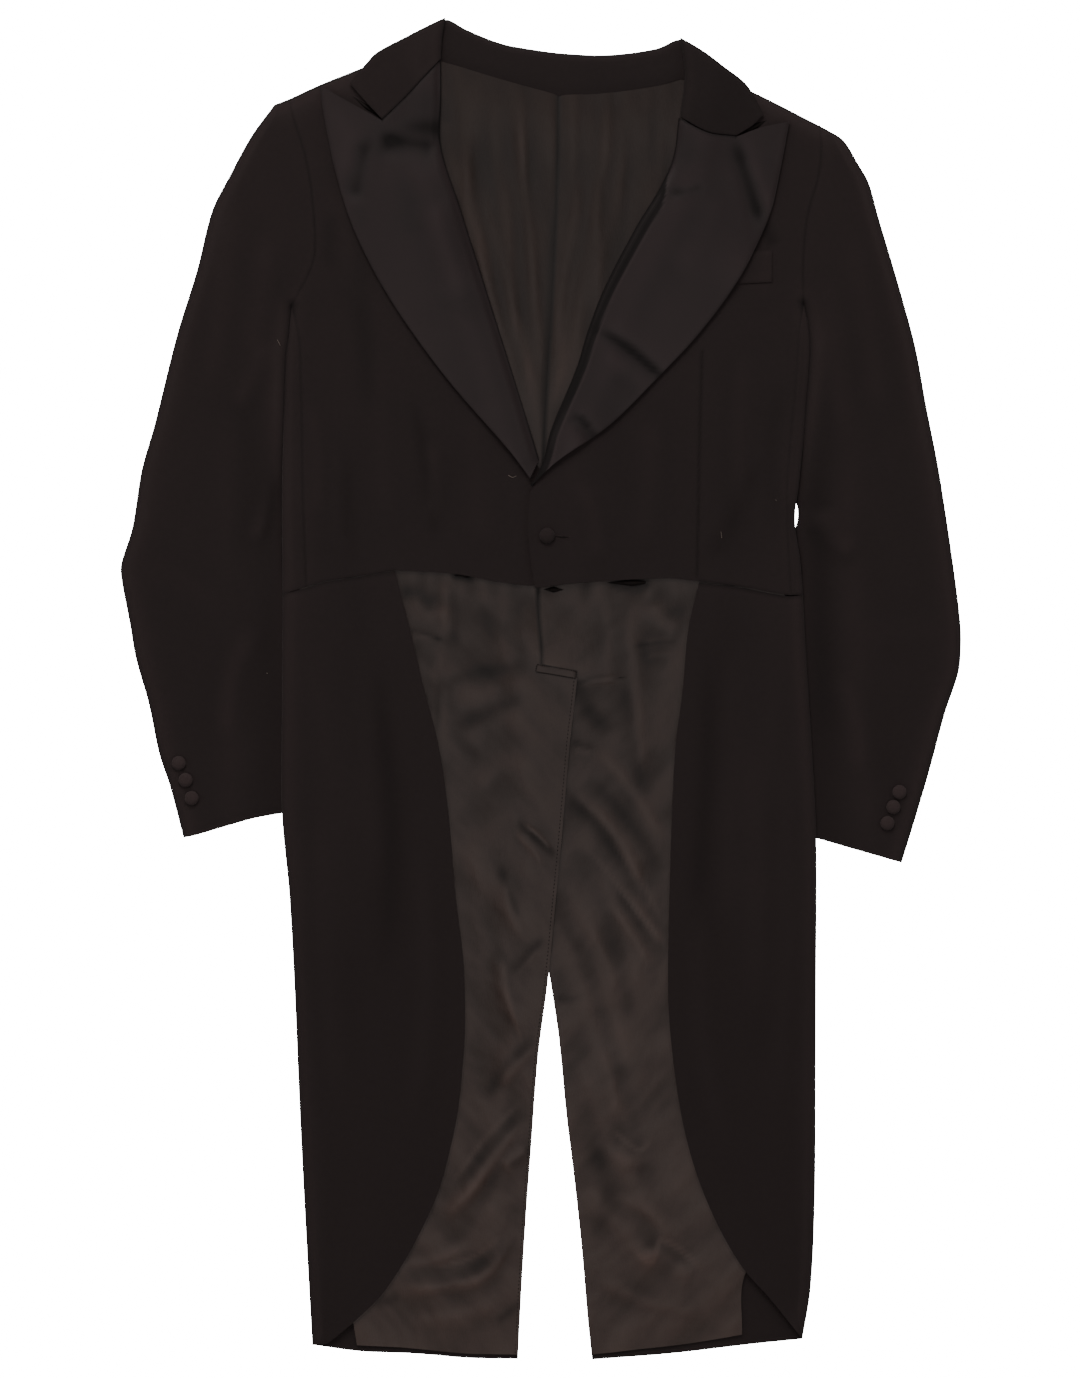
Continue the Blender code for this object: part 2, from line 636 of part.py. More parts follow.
def back(side):
    """From the neck to the hem in one, along the centre seam, with the vent's extension on the right tail."""
    upper = rail(side, ("armhole", ARMHOLE_ROWS[:BACK_ARMHOLE_ROWS]), ("side body seam", SIDE_ROWS))
    pleat = SMOOTH_LINES[side]["pleat seam"]
    outer = np.vstack([upper, at_heights(pleat, TAIL_HEIGHTS), pleat[-1:]])
    inner = centre_edge(side, outer)
    shoulder, neck = SMOOTH_LINES[side]["shoulder"][::-1], SMOOTH_LINES[side]["neck"]
    top = cornered((shoulder, np.array([shoulder[-1], neck[0]]), neck), (0.0, 0.4, 0.45, 1.0))
    grid = panel(outer, inner, lambda width: BACK_COLUMNS, top=top, bottom=part_of(LINES[side]["hem"], 0.6, 1.0))
    return cloth("back_" + side, raised(drawn_in(grid), back_under, side), CLOTH, "wool", outside=-1)


def lining(side):
    """It shows in the open neck and over the tails, and stops short of the folded sides."""
    line = SMOOTH_LINES[side]["lining side"]
    heights = [*(y for y in LINING_HEIGHTS if y < line[0, 1] - 8), *TAIL_HEIGHTS]
    outer = np.vstack([line[:1], at_heights(line, heights), line[-1:]])
    inner = centre_edge(side, outer)
    hem = SMOOTH_LINES[side]["lining hem"]
    inner[-1] = hem[-1]
    top = cornered((SMOOTH_LINES[side]["lining shoulder"], SMOOTH_LINES[side]["neck"]), (0.0, 0.5, 1.0))
    grid = panel(outer, inner, columns(10), top=top, bottom=hem)
    return cloth("lining_" + side, raised(drawn_in(grid), lining_top, side), LINING, "lining")


def forepart(side):
    """From the shoulder to the pointed waist, between the armhole with the side seam and the front edge."""
    outer = rail(side, ("armhole", ARMHOLE_ROWS), ("side seam", SIDE_ROWS))
    inner = matching(side, "front edge", outer)
    waist = drawn(LINES[side]["waist"])
    bottom = np.vstack([waist[waist_start(side) :], drawn(LINES[side]["front hem"])])
    top = drawn(LINES[side]["shoulder"])[::-1]
    grid = panel(outer, inner, columns(8), top=top, bottom=bottom)
    return cloth("forepart_" + side, raised(drawn_in(grid), front_top, side), CLOTH, "wool")


def waist_start(side):
    """Where the side seam meets the waist seam."""
    seam = np.array(LINES[side]["side seam"][-1], float)
    return int(np.argmin(np.linalg.norm(drawn(LINES[side]["waist"]) - seam, axis=1)))


def turned_under(name, side, front, fold, under, counts, top=None, under_bottom=None):
    """A panel that lies on top from its front edge to the fold and turns under to its back seam."""
    above = panel(front, fold, fold_columns(counts[0], last=FOLD_STEPS), top=top)
    below = panel(fold, under, fold_columns(counts[1], first=TURN_STEPS), bottom=under_bottom)
    flat = drawn_in(np.concatenate([above, below[:, 1:]], axis=1))
    turn = above.shape[1] - 1
    upper = raised(flat[:, :turn], front_top, side)
    lower = raised(flat[:, turn:], back_under, side)
    lower[:, 0, 2] += EDGE_THICKNESS / 2
    return cloth(name + "_" + side, np.concatenate([upper, lower], axis=1), CLOTH, "wool")


def side_body(side):
    """The panel under the arm, from the side seam round the fold to its seam in the back."""
    front = rail(side, ("side seam", SIDE_ROWS[1:]))
    fold = at(SMOOTH_LINES[side]["side"], SIDE_ROWS[1:])
    under = at(SMOOTH_LINES[side]["side body seam"], SIDE_ROWS[1:])
    return turned_under("side_body", side, front, fold, under, (1, 4))


def skirt(side):
    """The front of a tail, cut away in a curve, sewn on at the waist and turned under to the pleat."""
    front = rail(side, ("cutaway", even(16)))
    fold = matching(side, "tail side", front)
    under = matching(side, "pleat seam", front)
    waist = SMOOTH_LINES[side]["waist"][::-1]
    hem = part_of(LINES[side]["hem"], 0.0, 0.6)
    return turned_under("skirt", side, front, fold, under, (5, 7), top=waist, under_bottom=hem)


def sleeve(side):
    """A top sleeve over an under sleeve, sewn together along the outline and open at the cuff."""
    inner = rail(side, ("armhole", ARMHOLE_ROWS), ("sleeve inner", even(12)))
    outer = matching(side, "sleeve outer", inner)
    cuff = SMOOTH_LINES[side]["cuff"]
    above = drawn_in(panel(outer, inner, fold_columns(5, FOLD_STEPS, FOLD_STEPS), bottom=cuff))
    below = drawn_in(panel(outer, inner, columns(3), bottom=cuff))
    cloth("top_sleeve_" + side, raised(above, sleeve_top, side), CLOTH, "wool")
    cloth("under_sleeve_" + side, raised(below, floor, side), CLOTH, "wool", outside=-1)


def lapel(side):
    """A peaked lapel faced with satin. Its notch is a corner in its top edge."""
    outer = rail(side, ("lapel edge", even(13)))
    inner = matching(side, "roll", outer)
    top = cornered((SMOOTH_LINES[side]["lapel peak"], SMOOTH_LINES[side]["gorge"]), (0.0, 0.5, 1.0))
    grid = panel(outer, inner, lambda width: LAPEL_COLUMNS, top=top)
    return cloth("lapel_" + side, raised(drawn_in(grid), lapel_top, side), LAPEL, "satin")


def collar_leaf(side):
    inner = rail(side, ("collar inner", even(5)))
    outer = matching(side, "collar end", inner)
    top, gorge = drawn(LINES[side]["collar top"]), drawn(LINES[side]["gorge"])[::-1]
    grid = panel(inner, outer, lambda width: COLLAR_COLUMNS, top=top, bottom=gorge)
    return cloth("collar_leaf_" + side, raised(drawn_in(grid), collar_top, side), LAPEL, "wool")


def collar_stand():
    """The band round the back of the neck, folded at its top edge, with its fall lying under the back."""
    seam = at(drawn([row[:2] for row in COLLAR_STATIONS]), even(10))
    top = at(drawn([row[2:] for row in COLLAR_STATIONS]), even(10))
    upright = BACK_OVER_FALL + LINING_TOP
    rows = [[(x, y, upright) for x, y in seam + share * (top - seam)] for share in (0.03, 0.4, 0.7)]
    down = (seam - top) / np.linalg.norm(seam - top, axis=1)[:, None]
    for angle in (90, 50, 15, -15, -50, -90):
        inward = COLLAR_FOLD_REACH * (1 - math.cos(math.radians(angle)))
        height = upright / 2 * (1 + math.sin(math.radians(angle)))
        rows.append([(x, y, height) for x, y in top + down * inward])
    for inward in (COLLAR_FALL / 2, COLLAR_FALL):
        rows.append([(x, y, 0.0) for x, y in top + down * inward])
    return cloth("collar_stand", np.array(rows).transpose(1, 0, 2), CLOTH, "wool")


def breast_welt():
    """A plain welt on the left breast. Its inner end lies under the lapel."""
    outer = np.array([WELT_CORNERS[1] + (WELT_CORNERS[2] - WELT_CORNERS[1]) * t for t in even(3)])
    inner = np.array([WELT_CORNERS[0] + (WELT_CORNERS[3] - WELT_CORNERS[0]) * t for t in even(3)])
    points = raised(panel(inner, outer, columns(4)), welt_top, "left")
    return cloth("breast_welt", points, WELT, "wool")


def welt_top(side, x, y):
    return over(front_top, side, x, y) + WELT_CLEARANCE + WELT


def vent_stay():
    """The strip stitched across the top of the vent."""
    first = np.array([STAY_CORNERS[0], STAY_CORNERS[3]])
    last = np.array([STAY_CORNERS[1], STAY_CORNERS[2]])
    points = raised(panel(first, last, columns(3)), stay_top, "right")
    return cloth("vent_stay", points, STAY, "lining")


def stay_top(side, x, y):
    return over(lining_top, side, x, y) + TRIM_CLEARANCE + STAY


def button(name, size, centre, base):
    """A covered button: a turned profile, domed above and drawn in underneath."""
    radius, height = size[0] / 2, size[1]
    shape = bmesh.new()
    points = [shape.verts.new((radius * r * MM, 0, height * h * MM)) for r, h in BUTTON_PROFILE]
    edges = [shape.edges.new(pair) for pair in zip(points, points[1:])]
    bmesh.ops.spin(
        shape, geom=[*points, *edges], cent=(0, 0, 0), axis=(0, 0, 1), dvec=(0, 0, 0),
        angle=2 * math.pi, steps=BUTTON_STEPS, use_merge=True,
    )
    bmesh.ops.remove_doubles(shape, verts=shape.verts, dist=1e-6)
    bmesh.ops.recalc_face_normals(shape, faces=shape.faces)
    mesh = bpy.data.meshes.new(name)
    shape.to_mesh(mesh)
    shape.free()
    mesh.shade_smooth()
    piece = named_object(name, mesh, "satin")
    piece.location = (centre[0] * MM, centre[1] * MM, base * MM)
    return piece


def buttons():
    x, y = FRONT_BUTTON_PLACE
    button("front_button", FRONT_BUTTON, (x, y), over(front_top, "left", x, y, UNDER_BUTTON) + TRIM_CLEARANCE)
    for side, places in CUFF_BUTTON_PLACES.items():
        for number, (x, y) in enumerate(places, 1):
            base = over(sleeve_top, side, x, y, UNDER_BUTTON) + TRIM_CLEARANCE
            button(f"cuff_button_{side}_{number}", CUFF_BUTTON, (x, y), base)


def clear_scene():
    for item in list(bpy.data.objects):
        bpy.data.objects.remove(item, do_unlink=True)
    bpy.context.scene.collection.children.link(bpy.data.collections.new("tailcoat"))


def main():
    clear_scene()
    for side in LINES:
        for piece in (back, lining, forepart, side_body, skirt, sleeve, lapel, collar_leaf):
            piece(side)
    collar_stand()
    breast_welt()
    vent_stay()
    buttons()


main()
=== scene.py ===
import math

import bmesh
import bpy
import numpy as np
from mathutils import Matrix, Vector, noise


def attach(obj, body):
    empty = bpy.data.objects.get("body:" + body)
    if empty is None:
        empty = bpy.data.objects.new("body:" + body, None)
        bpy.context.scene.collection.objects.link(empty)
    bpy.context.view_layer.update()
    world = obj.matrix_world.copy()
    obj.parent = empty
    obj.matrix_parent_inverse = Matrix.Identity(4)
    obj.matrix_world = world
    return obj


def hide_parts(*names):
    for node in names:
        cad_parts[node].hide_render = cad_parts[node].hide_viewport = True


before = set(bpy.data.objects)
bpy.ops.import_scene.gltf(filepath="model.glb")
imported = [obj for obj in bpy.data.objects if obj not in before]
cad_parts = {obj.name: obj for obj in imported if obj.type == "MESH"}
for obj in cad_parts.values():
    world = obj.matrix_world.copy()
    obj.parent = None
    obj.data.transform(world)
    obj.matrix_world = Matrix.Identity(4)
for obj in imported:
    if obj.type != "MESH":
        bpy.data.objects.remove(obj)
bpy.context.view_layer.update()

# %% [markdown]
# A white tie tailcoat, laid flat
#
# The coat lies on its back with its front up, seen from straight above. It is a thing of cloth only: panels
# cut from a fine black wool, lapels faced with satin, a thin lining, and buttons covered in cloth. Each panel
# that a maker would cut is one piece here. It starts as a plain grid, is laid between two lines of the
# pattern, raised over what lies under it, and given a wall. Sizes are in millimetres, x to the viewer's
# right, y towards the collar and z up from the table. Right and left are the wearer's, so the right side is
# at minus x.

MM = 0.001

# %% [markdown]
# The camera
#
# The picture was taken from straight above, from far enough that the coat has no perspective to speak of. A
# long lens high over the table does the same. Its height follows from the width of the table that the frame
# takes in.

# %% Camera
FRAME_HEIGHT = 1171.3
FRAME_CENTRE = (-0.85, 0.2)
COAT_LEVEL = 5.0
camera_lens = bpy.data.cameras.new("camera")
camera_lens.lens = 85.0
camera_lens.sensor_width = 36.0
camera = bpy.data.objects.new("camera", camera_lens)
bpy.context.scene.collection.objects.link(camera)
camera_height = FRAME_HEIGHT * camera_lens.lens / camera_lens.sensor_width + COAT_LEVEL
camera.location = (FRAME_CENTRE[0] * MM, FRAME_CENTRE[1] * MM, camera_height * MM)
bpy.context.scene.camera = camera
print("the camera is", round(camera_height), "mm above the table")

# %% [markdown]
# Shader sums
#
# A material is a graph of nodes. Written out link by link it is hard to read, so one small class stands for a
# socket: a Python sum on it adds the matching Math node. One method adds any other node.


# %% A socket that can be used in sums
class Wire:
    """An output socket of a material. Sums on it add Math nodes."""

    def __init__(self, finish, socket):
        self.finish, self.socket = finish, socket

    def sum(self, operation, first, second):
        return self.finish.node("ShaderNodeMath", {"operation": operation}, {0: first, 1: second})

    def __add__(self, other):
        return self.sum("ADD", self, other)

    def __radd__(self, other):
        return self.sum("ADD", other, self)

    def __sub__(self, other):
        return self.sum("SUBTRACT", self, other)

    def __rsub__(self, other):
        return self.sum("SUBTRACT", other, self)

    def __rmul__(self, other):
        return self.sum("MULTIPLY", other, self)


# %% A material that is being made
class Finish:
    """A material with one method for its nodes and one for the shader's own sockets."""

    def __init__(self, name):
        self.material = bpy.data.materials.new(name)
        self.material.use_nodes = True
        self.tree = self.material.node_tree
        self.shader = self.tree.nodes["Principled BSDF"]

    def put(self, socket, value):
        if isinstance(value, Wire):
            self.tree.links.new(value.socket, socket)
        else:
            socket.default_value = value

    def node(self, kind, settings=None, sockets=None, output=0):
        made = self.tree.nodes.new(kind)
        for name, value in (settings or {}).items():
            setattr(made, name, value)
        for name, value in (sockets or {}).items():
            self.put(made.inputs[name], value)
        return Wire(self, made.outputs[output])

    def mix(self, share, first, second, blend="MIX"):
        sockets = {0: share, 6: first, 7: second}
        return self.node("ShaderNodeMix", {"data_type": "RGBA", "blend_type": blend}, sockets, output=2)

    def shade(self, **sockets):
        for name, value in sockets.items():
            self.put(self.shader.inputs[name.replace("_", " ")], value)


print("shader helpers ready")

# %% [markdown]
# Table and light
#
# The table is plain white and bright enough that hardly a shadow shows on it. Black cloth gives back only a
# few hundredths of the light that falls on it, so what one sees of it are its soft edges and its sheen. The
# strongest light stands beyond the collar and makes the shadows under the lapels and hems. Weaker ones at
# both sides, at the foot and overhead fill them.

# %% Table
TABLE_GLOW = 24.0
TABLE_SIZE = 6.0
TABLE_DROP = 0.2
table_finish = Finish("table")
table_finish.shade(Base_Color=(0.9, 0.9, 0.9, 1), Roughness=0.9, Emission_Color=(1, 1, 1, 1))
table_finish.shade(Emission_Strength=TABLE_GLOW)
table_shape = bmesh.new()
bmesh.ops.create_grid(table_shape, x_segments=1, y_segments=1, size=TABLE_SIZE)
table_mesh = bpy.data.meshes.new("table")
table_shape.to_mesh(table_mesh)
table_shape.free()
table_mesh.materials.append(table_finish.material)
table = bpy.data.objects.new("table", table_mesh)
table.location.z = -TABLE_DROP * MM
bpy.context.scene.collection.objects.link(table)
# It is bright to the camera only, so that no light from below rims the dark cloth
table.visible_diffuse = False
table.visible_glossy = False
print("the table glows", TABLE_GLOW)

# %% Lights
WARM_LIGHT = (1.0, 0.89, 0.86)
ROOM_GREY = (0.5, 0.5, 0.5, 1)
ROOM_STRENGTH = 0.25
# Columns: x, y, z in metres, size in metres, watts
LIGHTS = {
    "key": (-0.5, 2.6, 1.9, 1.6, 66.0),
    "fill_left": (-2.6, 0.2, 1.3, 1.6, 16.0),
    "fill_right": (2.6, 0.4, 1.3, 1.6, 16.0),
    "foot": (0.0, -2.8, 1.9, 1.6, 14.0),
    "overhead": (0.0, -0.3, 3.6, 2.4, 26.0),
}
for name, (x, y, z, size, watts) in LIGHTS.items():
    lamp = bpy.data.lights.new(name, "AREA")
    lamp.size = size
    lamp.energy = watts
    lamp.color = WARM_LIGHT
    light = bpy.data.objects.new(name, lamp)
    light.location = (x, y, z)
    light.rotation_euler = (-light.location).to_track_quat("-Z", "Y").to_euler()
    bpy.context.scene.collection.objects.link(light)
world = bpy.data.worlds.new("room")
world.use_nodes = True
background = world.node_tree.nodes["Background"]
background.inputs["Color"].default_value = ROOM_GREY
background.inputs["Strength"].default_value = ROOM_STRENGTH
bpy.context.scene.world = world
print(len(LIGHTS), "lights")

# %% [markdown]
# The wool
#
# The coat is cut from a fine worsted with a faint twill: thin diagonal ribs under a millimetre apart, and
# long uneven shades where yarns differ. Wool has almost no gloss. The pattern follows the cloth's own grain,
# which each panel keeps in a UV map, in metres. The warp and weft are two waves, and their sum stands up as a
# bump.


# %% Wool
def grain(finish, turn=0.0, stretch=(1, 1, 1)):
    """Places on the cloth along its own grain, turned about the grain."""
    places = finish.node("ShaderNodeUVMap", {"uv_map": "grain"})
    return finish.node("ShaderNodeMapping", {}, {0: places, 2: (0, 0, turn), 3: stretch})


WEAVE_WOBBLE = 1.5


def woven(finish, turn, spacing):
    """Ribs of a weave, from 0 to 1, so many metres apart."""
    sockets = {"Vector": grain(finish, turn), "Scale": 1 / spacing / math.tau * math.pi, "Detail": 1.0}
    return finish.node("ShaderNodeTexWave", {}, {**sockets, "Distortion": WEAVE_WOBBLE})


def cloudy(finish, size, stretch=(1, 1, 1), detail=3.0):
    """Soft uneven shades of a given size in metres."""
    sockets = {"Vector": grain(finish, 0, stretch), "Scale": 1 / size, "Detail": detail}
    return finish.node("ShaderNodeTexNoise", {}, sockets)


def painted_shade_of(finish):
    """The painted shade that cloth() writes on each point: how deep the cloth lies below the cloth around it,
    with the painted shade of shaded places and seams added. Below 0 it is painted light.
    """
    return finish.node("ShaderNodeAttribute", {"attribute_name": "hollow"}, output=2)


def duller(finish, share):
    """More roughness in the hollows, none on the crests."""
    deep = finish.node("ShaderNodeMath", {"operation": "MAXIMUM"}, {0: painted_shade_of(finish), 1: 0.0})
    return share * deep


def painted_hollow_shade(finish, colour, depth):
    """The colour with painted shade where the cloth lies in a hollow and painted light on a crest."""
    return finish.mix(1.0, colour, 1 - depth * painted_shade_of(finish), "MULTIPLY")


def bumped(finish, height, strength, distance):
    return finish.node("ShaderNodeBump", {}, {"Strength": strength, "Distance": distance, "Height": height})


WOOL = (0.0119, 0.0086, 0.0087, 1)
WOOL_PALE = (0.0174, 0.0127, 0.0128, 1)
TWILL_ANGLE = 52
# Sizes in metres, of one rib, one yarn, one uneven shade and one tuft of nap
TWILL_RIB, YARN_SIZE, WOOL_SHADE, NAP_SIZE = 0.0009, 0.0007, 0.09, 0.004


def wool(name, warmth=0.0, light=1.0):
    """The coat's wool. Warmth adds more of the pale yarn, and light makes both yarns lighter or darker."""
    finish = Finish(name)
    twill = woven(finish, math.radians(TWILL_ANGLE), TWILL_RIB)
    yarn = cloudy(finish, YARN_SIZE, (1, 0.12, 1), 2.0)
    shade = cloudy(finish, WOOL_SHADE, (1.6, 0.5, 1))
    nap = cloudy(finish, NAP_SIZE)
    tone = 0.30 * twill + 0.25 * yarn + 0.35 * shade + 0.20 * nap - 0.1 + warmth
    dark, pale = ((*(light * share for share in colour[:3]), 1) for colour in (WOOL, WOOL_PALE))
    # Painted shade in the cloth's hollows and at its seams, and painted light on its crests
    colour = painted_hollow_shade(finish, finish.mix(tone, dark, pale), 0.55)
    finish.shade(Base_Color=colour, Roughness=0.82 + 0.12 * nap)
    finish.shade(Specular_IOR_Level=0.22, Sheen_Weight=0.06, Sheen_Roughness=0.5)
    finish.shade(Normal=bumped(finish, 0.6 * twill + 0.4 * yarn, 0.35, 0.00025))
    return finish.material


WOOL_CLOTH = wool("wool_cloth")
# A darker copy of the same wool, as painted shade on the left collar leaf and the collar stand
WOOL_SHADED_COPY = wool("wool_collar", -0.2, 0.78)
print("wool made")

# %% [markdown]
# Satin and lining
#
# The lapels are faced with satin, whose long floats lie side by side and give a soft broad gloss. The lining
# is a thin sateen, a little browner. It is light enough to crumple, so it also has fine crinkles that catch
# the light.

# %% Satin
SATIN = (0.0108, 0.0072, 0.0078, 1)
SATIN_PALE = (0.0156, 0.0108, 0.0115, 1)


def satin(name):
    finish = Finish(name)
    floats = cloudy(finish, 0.0006, (1, 0.06, 1), 2.0)
    shade = cloudy(finish, 0.05, (1, 0.6, 1))
    colour = finish.mix(0.35 * floats + 0.65 * shade, SATIN, SATIN_PALE)
    # Painted shade in the hollows, at the seams and along the roll, and painted light on the crests
    finish.shade(Base_Color=painted_hollow_shade(finish, colour, 0.85))
    finish.shade(Roughness=0.36 + 0.10 * shade + duller(finish, 0.40), Specular_IOR_Level=0.24)
    finish.shade(Sheen_Weight=0.02)
    finish.shade(Normal=bumped(finish, floats + 0.2 * cloudy(finish, 0.003), 0.25, 0.00015))
    return finish.material


SATIN_FACING = satin("satin_facing")
print("satin made")

# %% Lining
LINING_BROWN = (0.0150, 0.0098, 0.0080, 1)
LINING_PALE = (0.0330, 0.0216, 0.0176, 1)
# Painted light and shade: the lining is darker towards the neck and lighter down the tails. Columns: share of
# its colour at the middle, and loss for each metre up
TAIL_FADE = (0.65, 1.36)
NECK_FADE = (0.71, 0.42)


def sateen(name):
    finish = Finish(name)
    threads = cloudy(finish, 0.0005, (1, 0.08, 1), 2.0)
    shade = cloudy(finish, 0.07, (1, 0.7, 1))
    crinkle = cloudy(finish, 0.010, (1.0, 0.6, 1), 4.0)
    colour = finish.mix(0.25 * threads + 0.75 * shade, LINING_BROWN, LINING_PALE)
    # Painted light and shade by height on the coat: lighter down the tails, darker towards the neck
    here = finish.node("ShaderNodeTexCoord", output=3)
    up = finish.node("ShaderNodeSeparateXYZ", {}, {0: here}, output=1)
    fades = {0: TAIL_FADE[0] - TAIL_FADE[1] * up, 1: NECK_FADE[0] - NECK_FADE[1] * up}
    fade = finish.node("ShaderNodeMath", {"operation": "MAXIMUM"}, fades)
    # Painted shade in the folds' hollows and along the seam, and painted light on their crests
    faded = finish.mix(1.0, painted_hollow_shade(finish, colour, 0.85), fade, "MULTIPLY")
    roughness = 0.30 + 0.12 * shade + duller(finish, 0.25)
    finish.shade(Base_Color=faded, Roughness=roughness, Specular_IOR_Level=0.32)
    finish.shade(Normal=bumped(finish, 0.25 * threads + crinkle, 0.35, 0.0008))
    return finish.material


SATEEN_LINING = sateen("sateen_lining")
print("lining made")

# %% [markdown]
# The pattern lines
#
# A cutter draws each panel between a few lines. The lines of both halves are kept here by name, from the neck
# down to the hem unless a name says otherwise, as places that a smooth curve passes through.

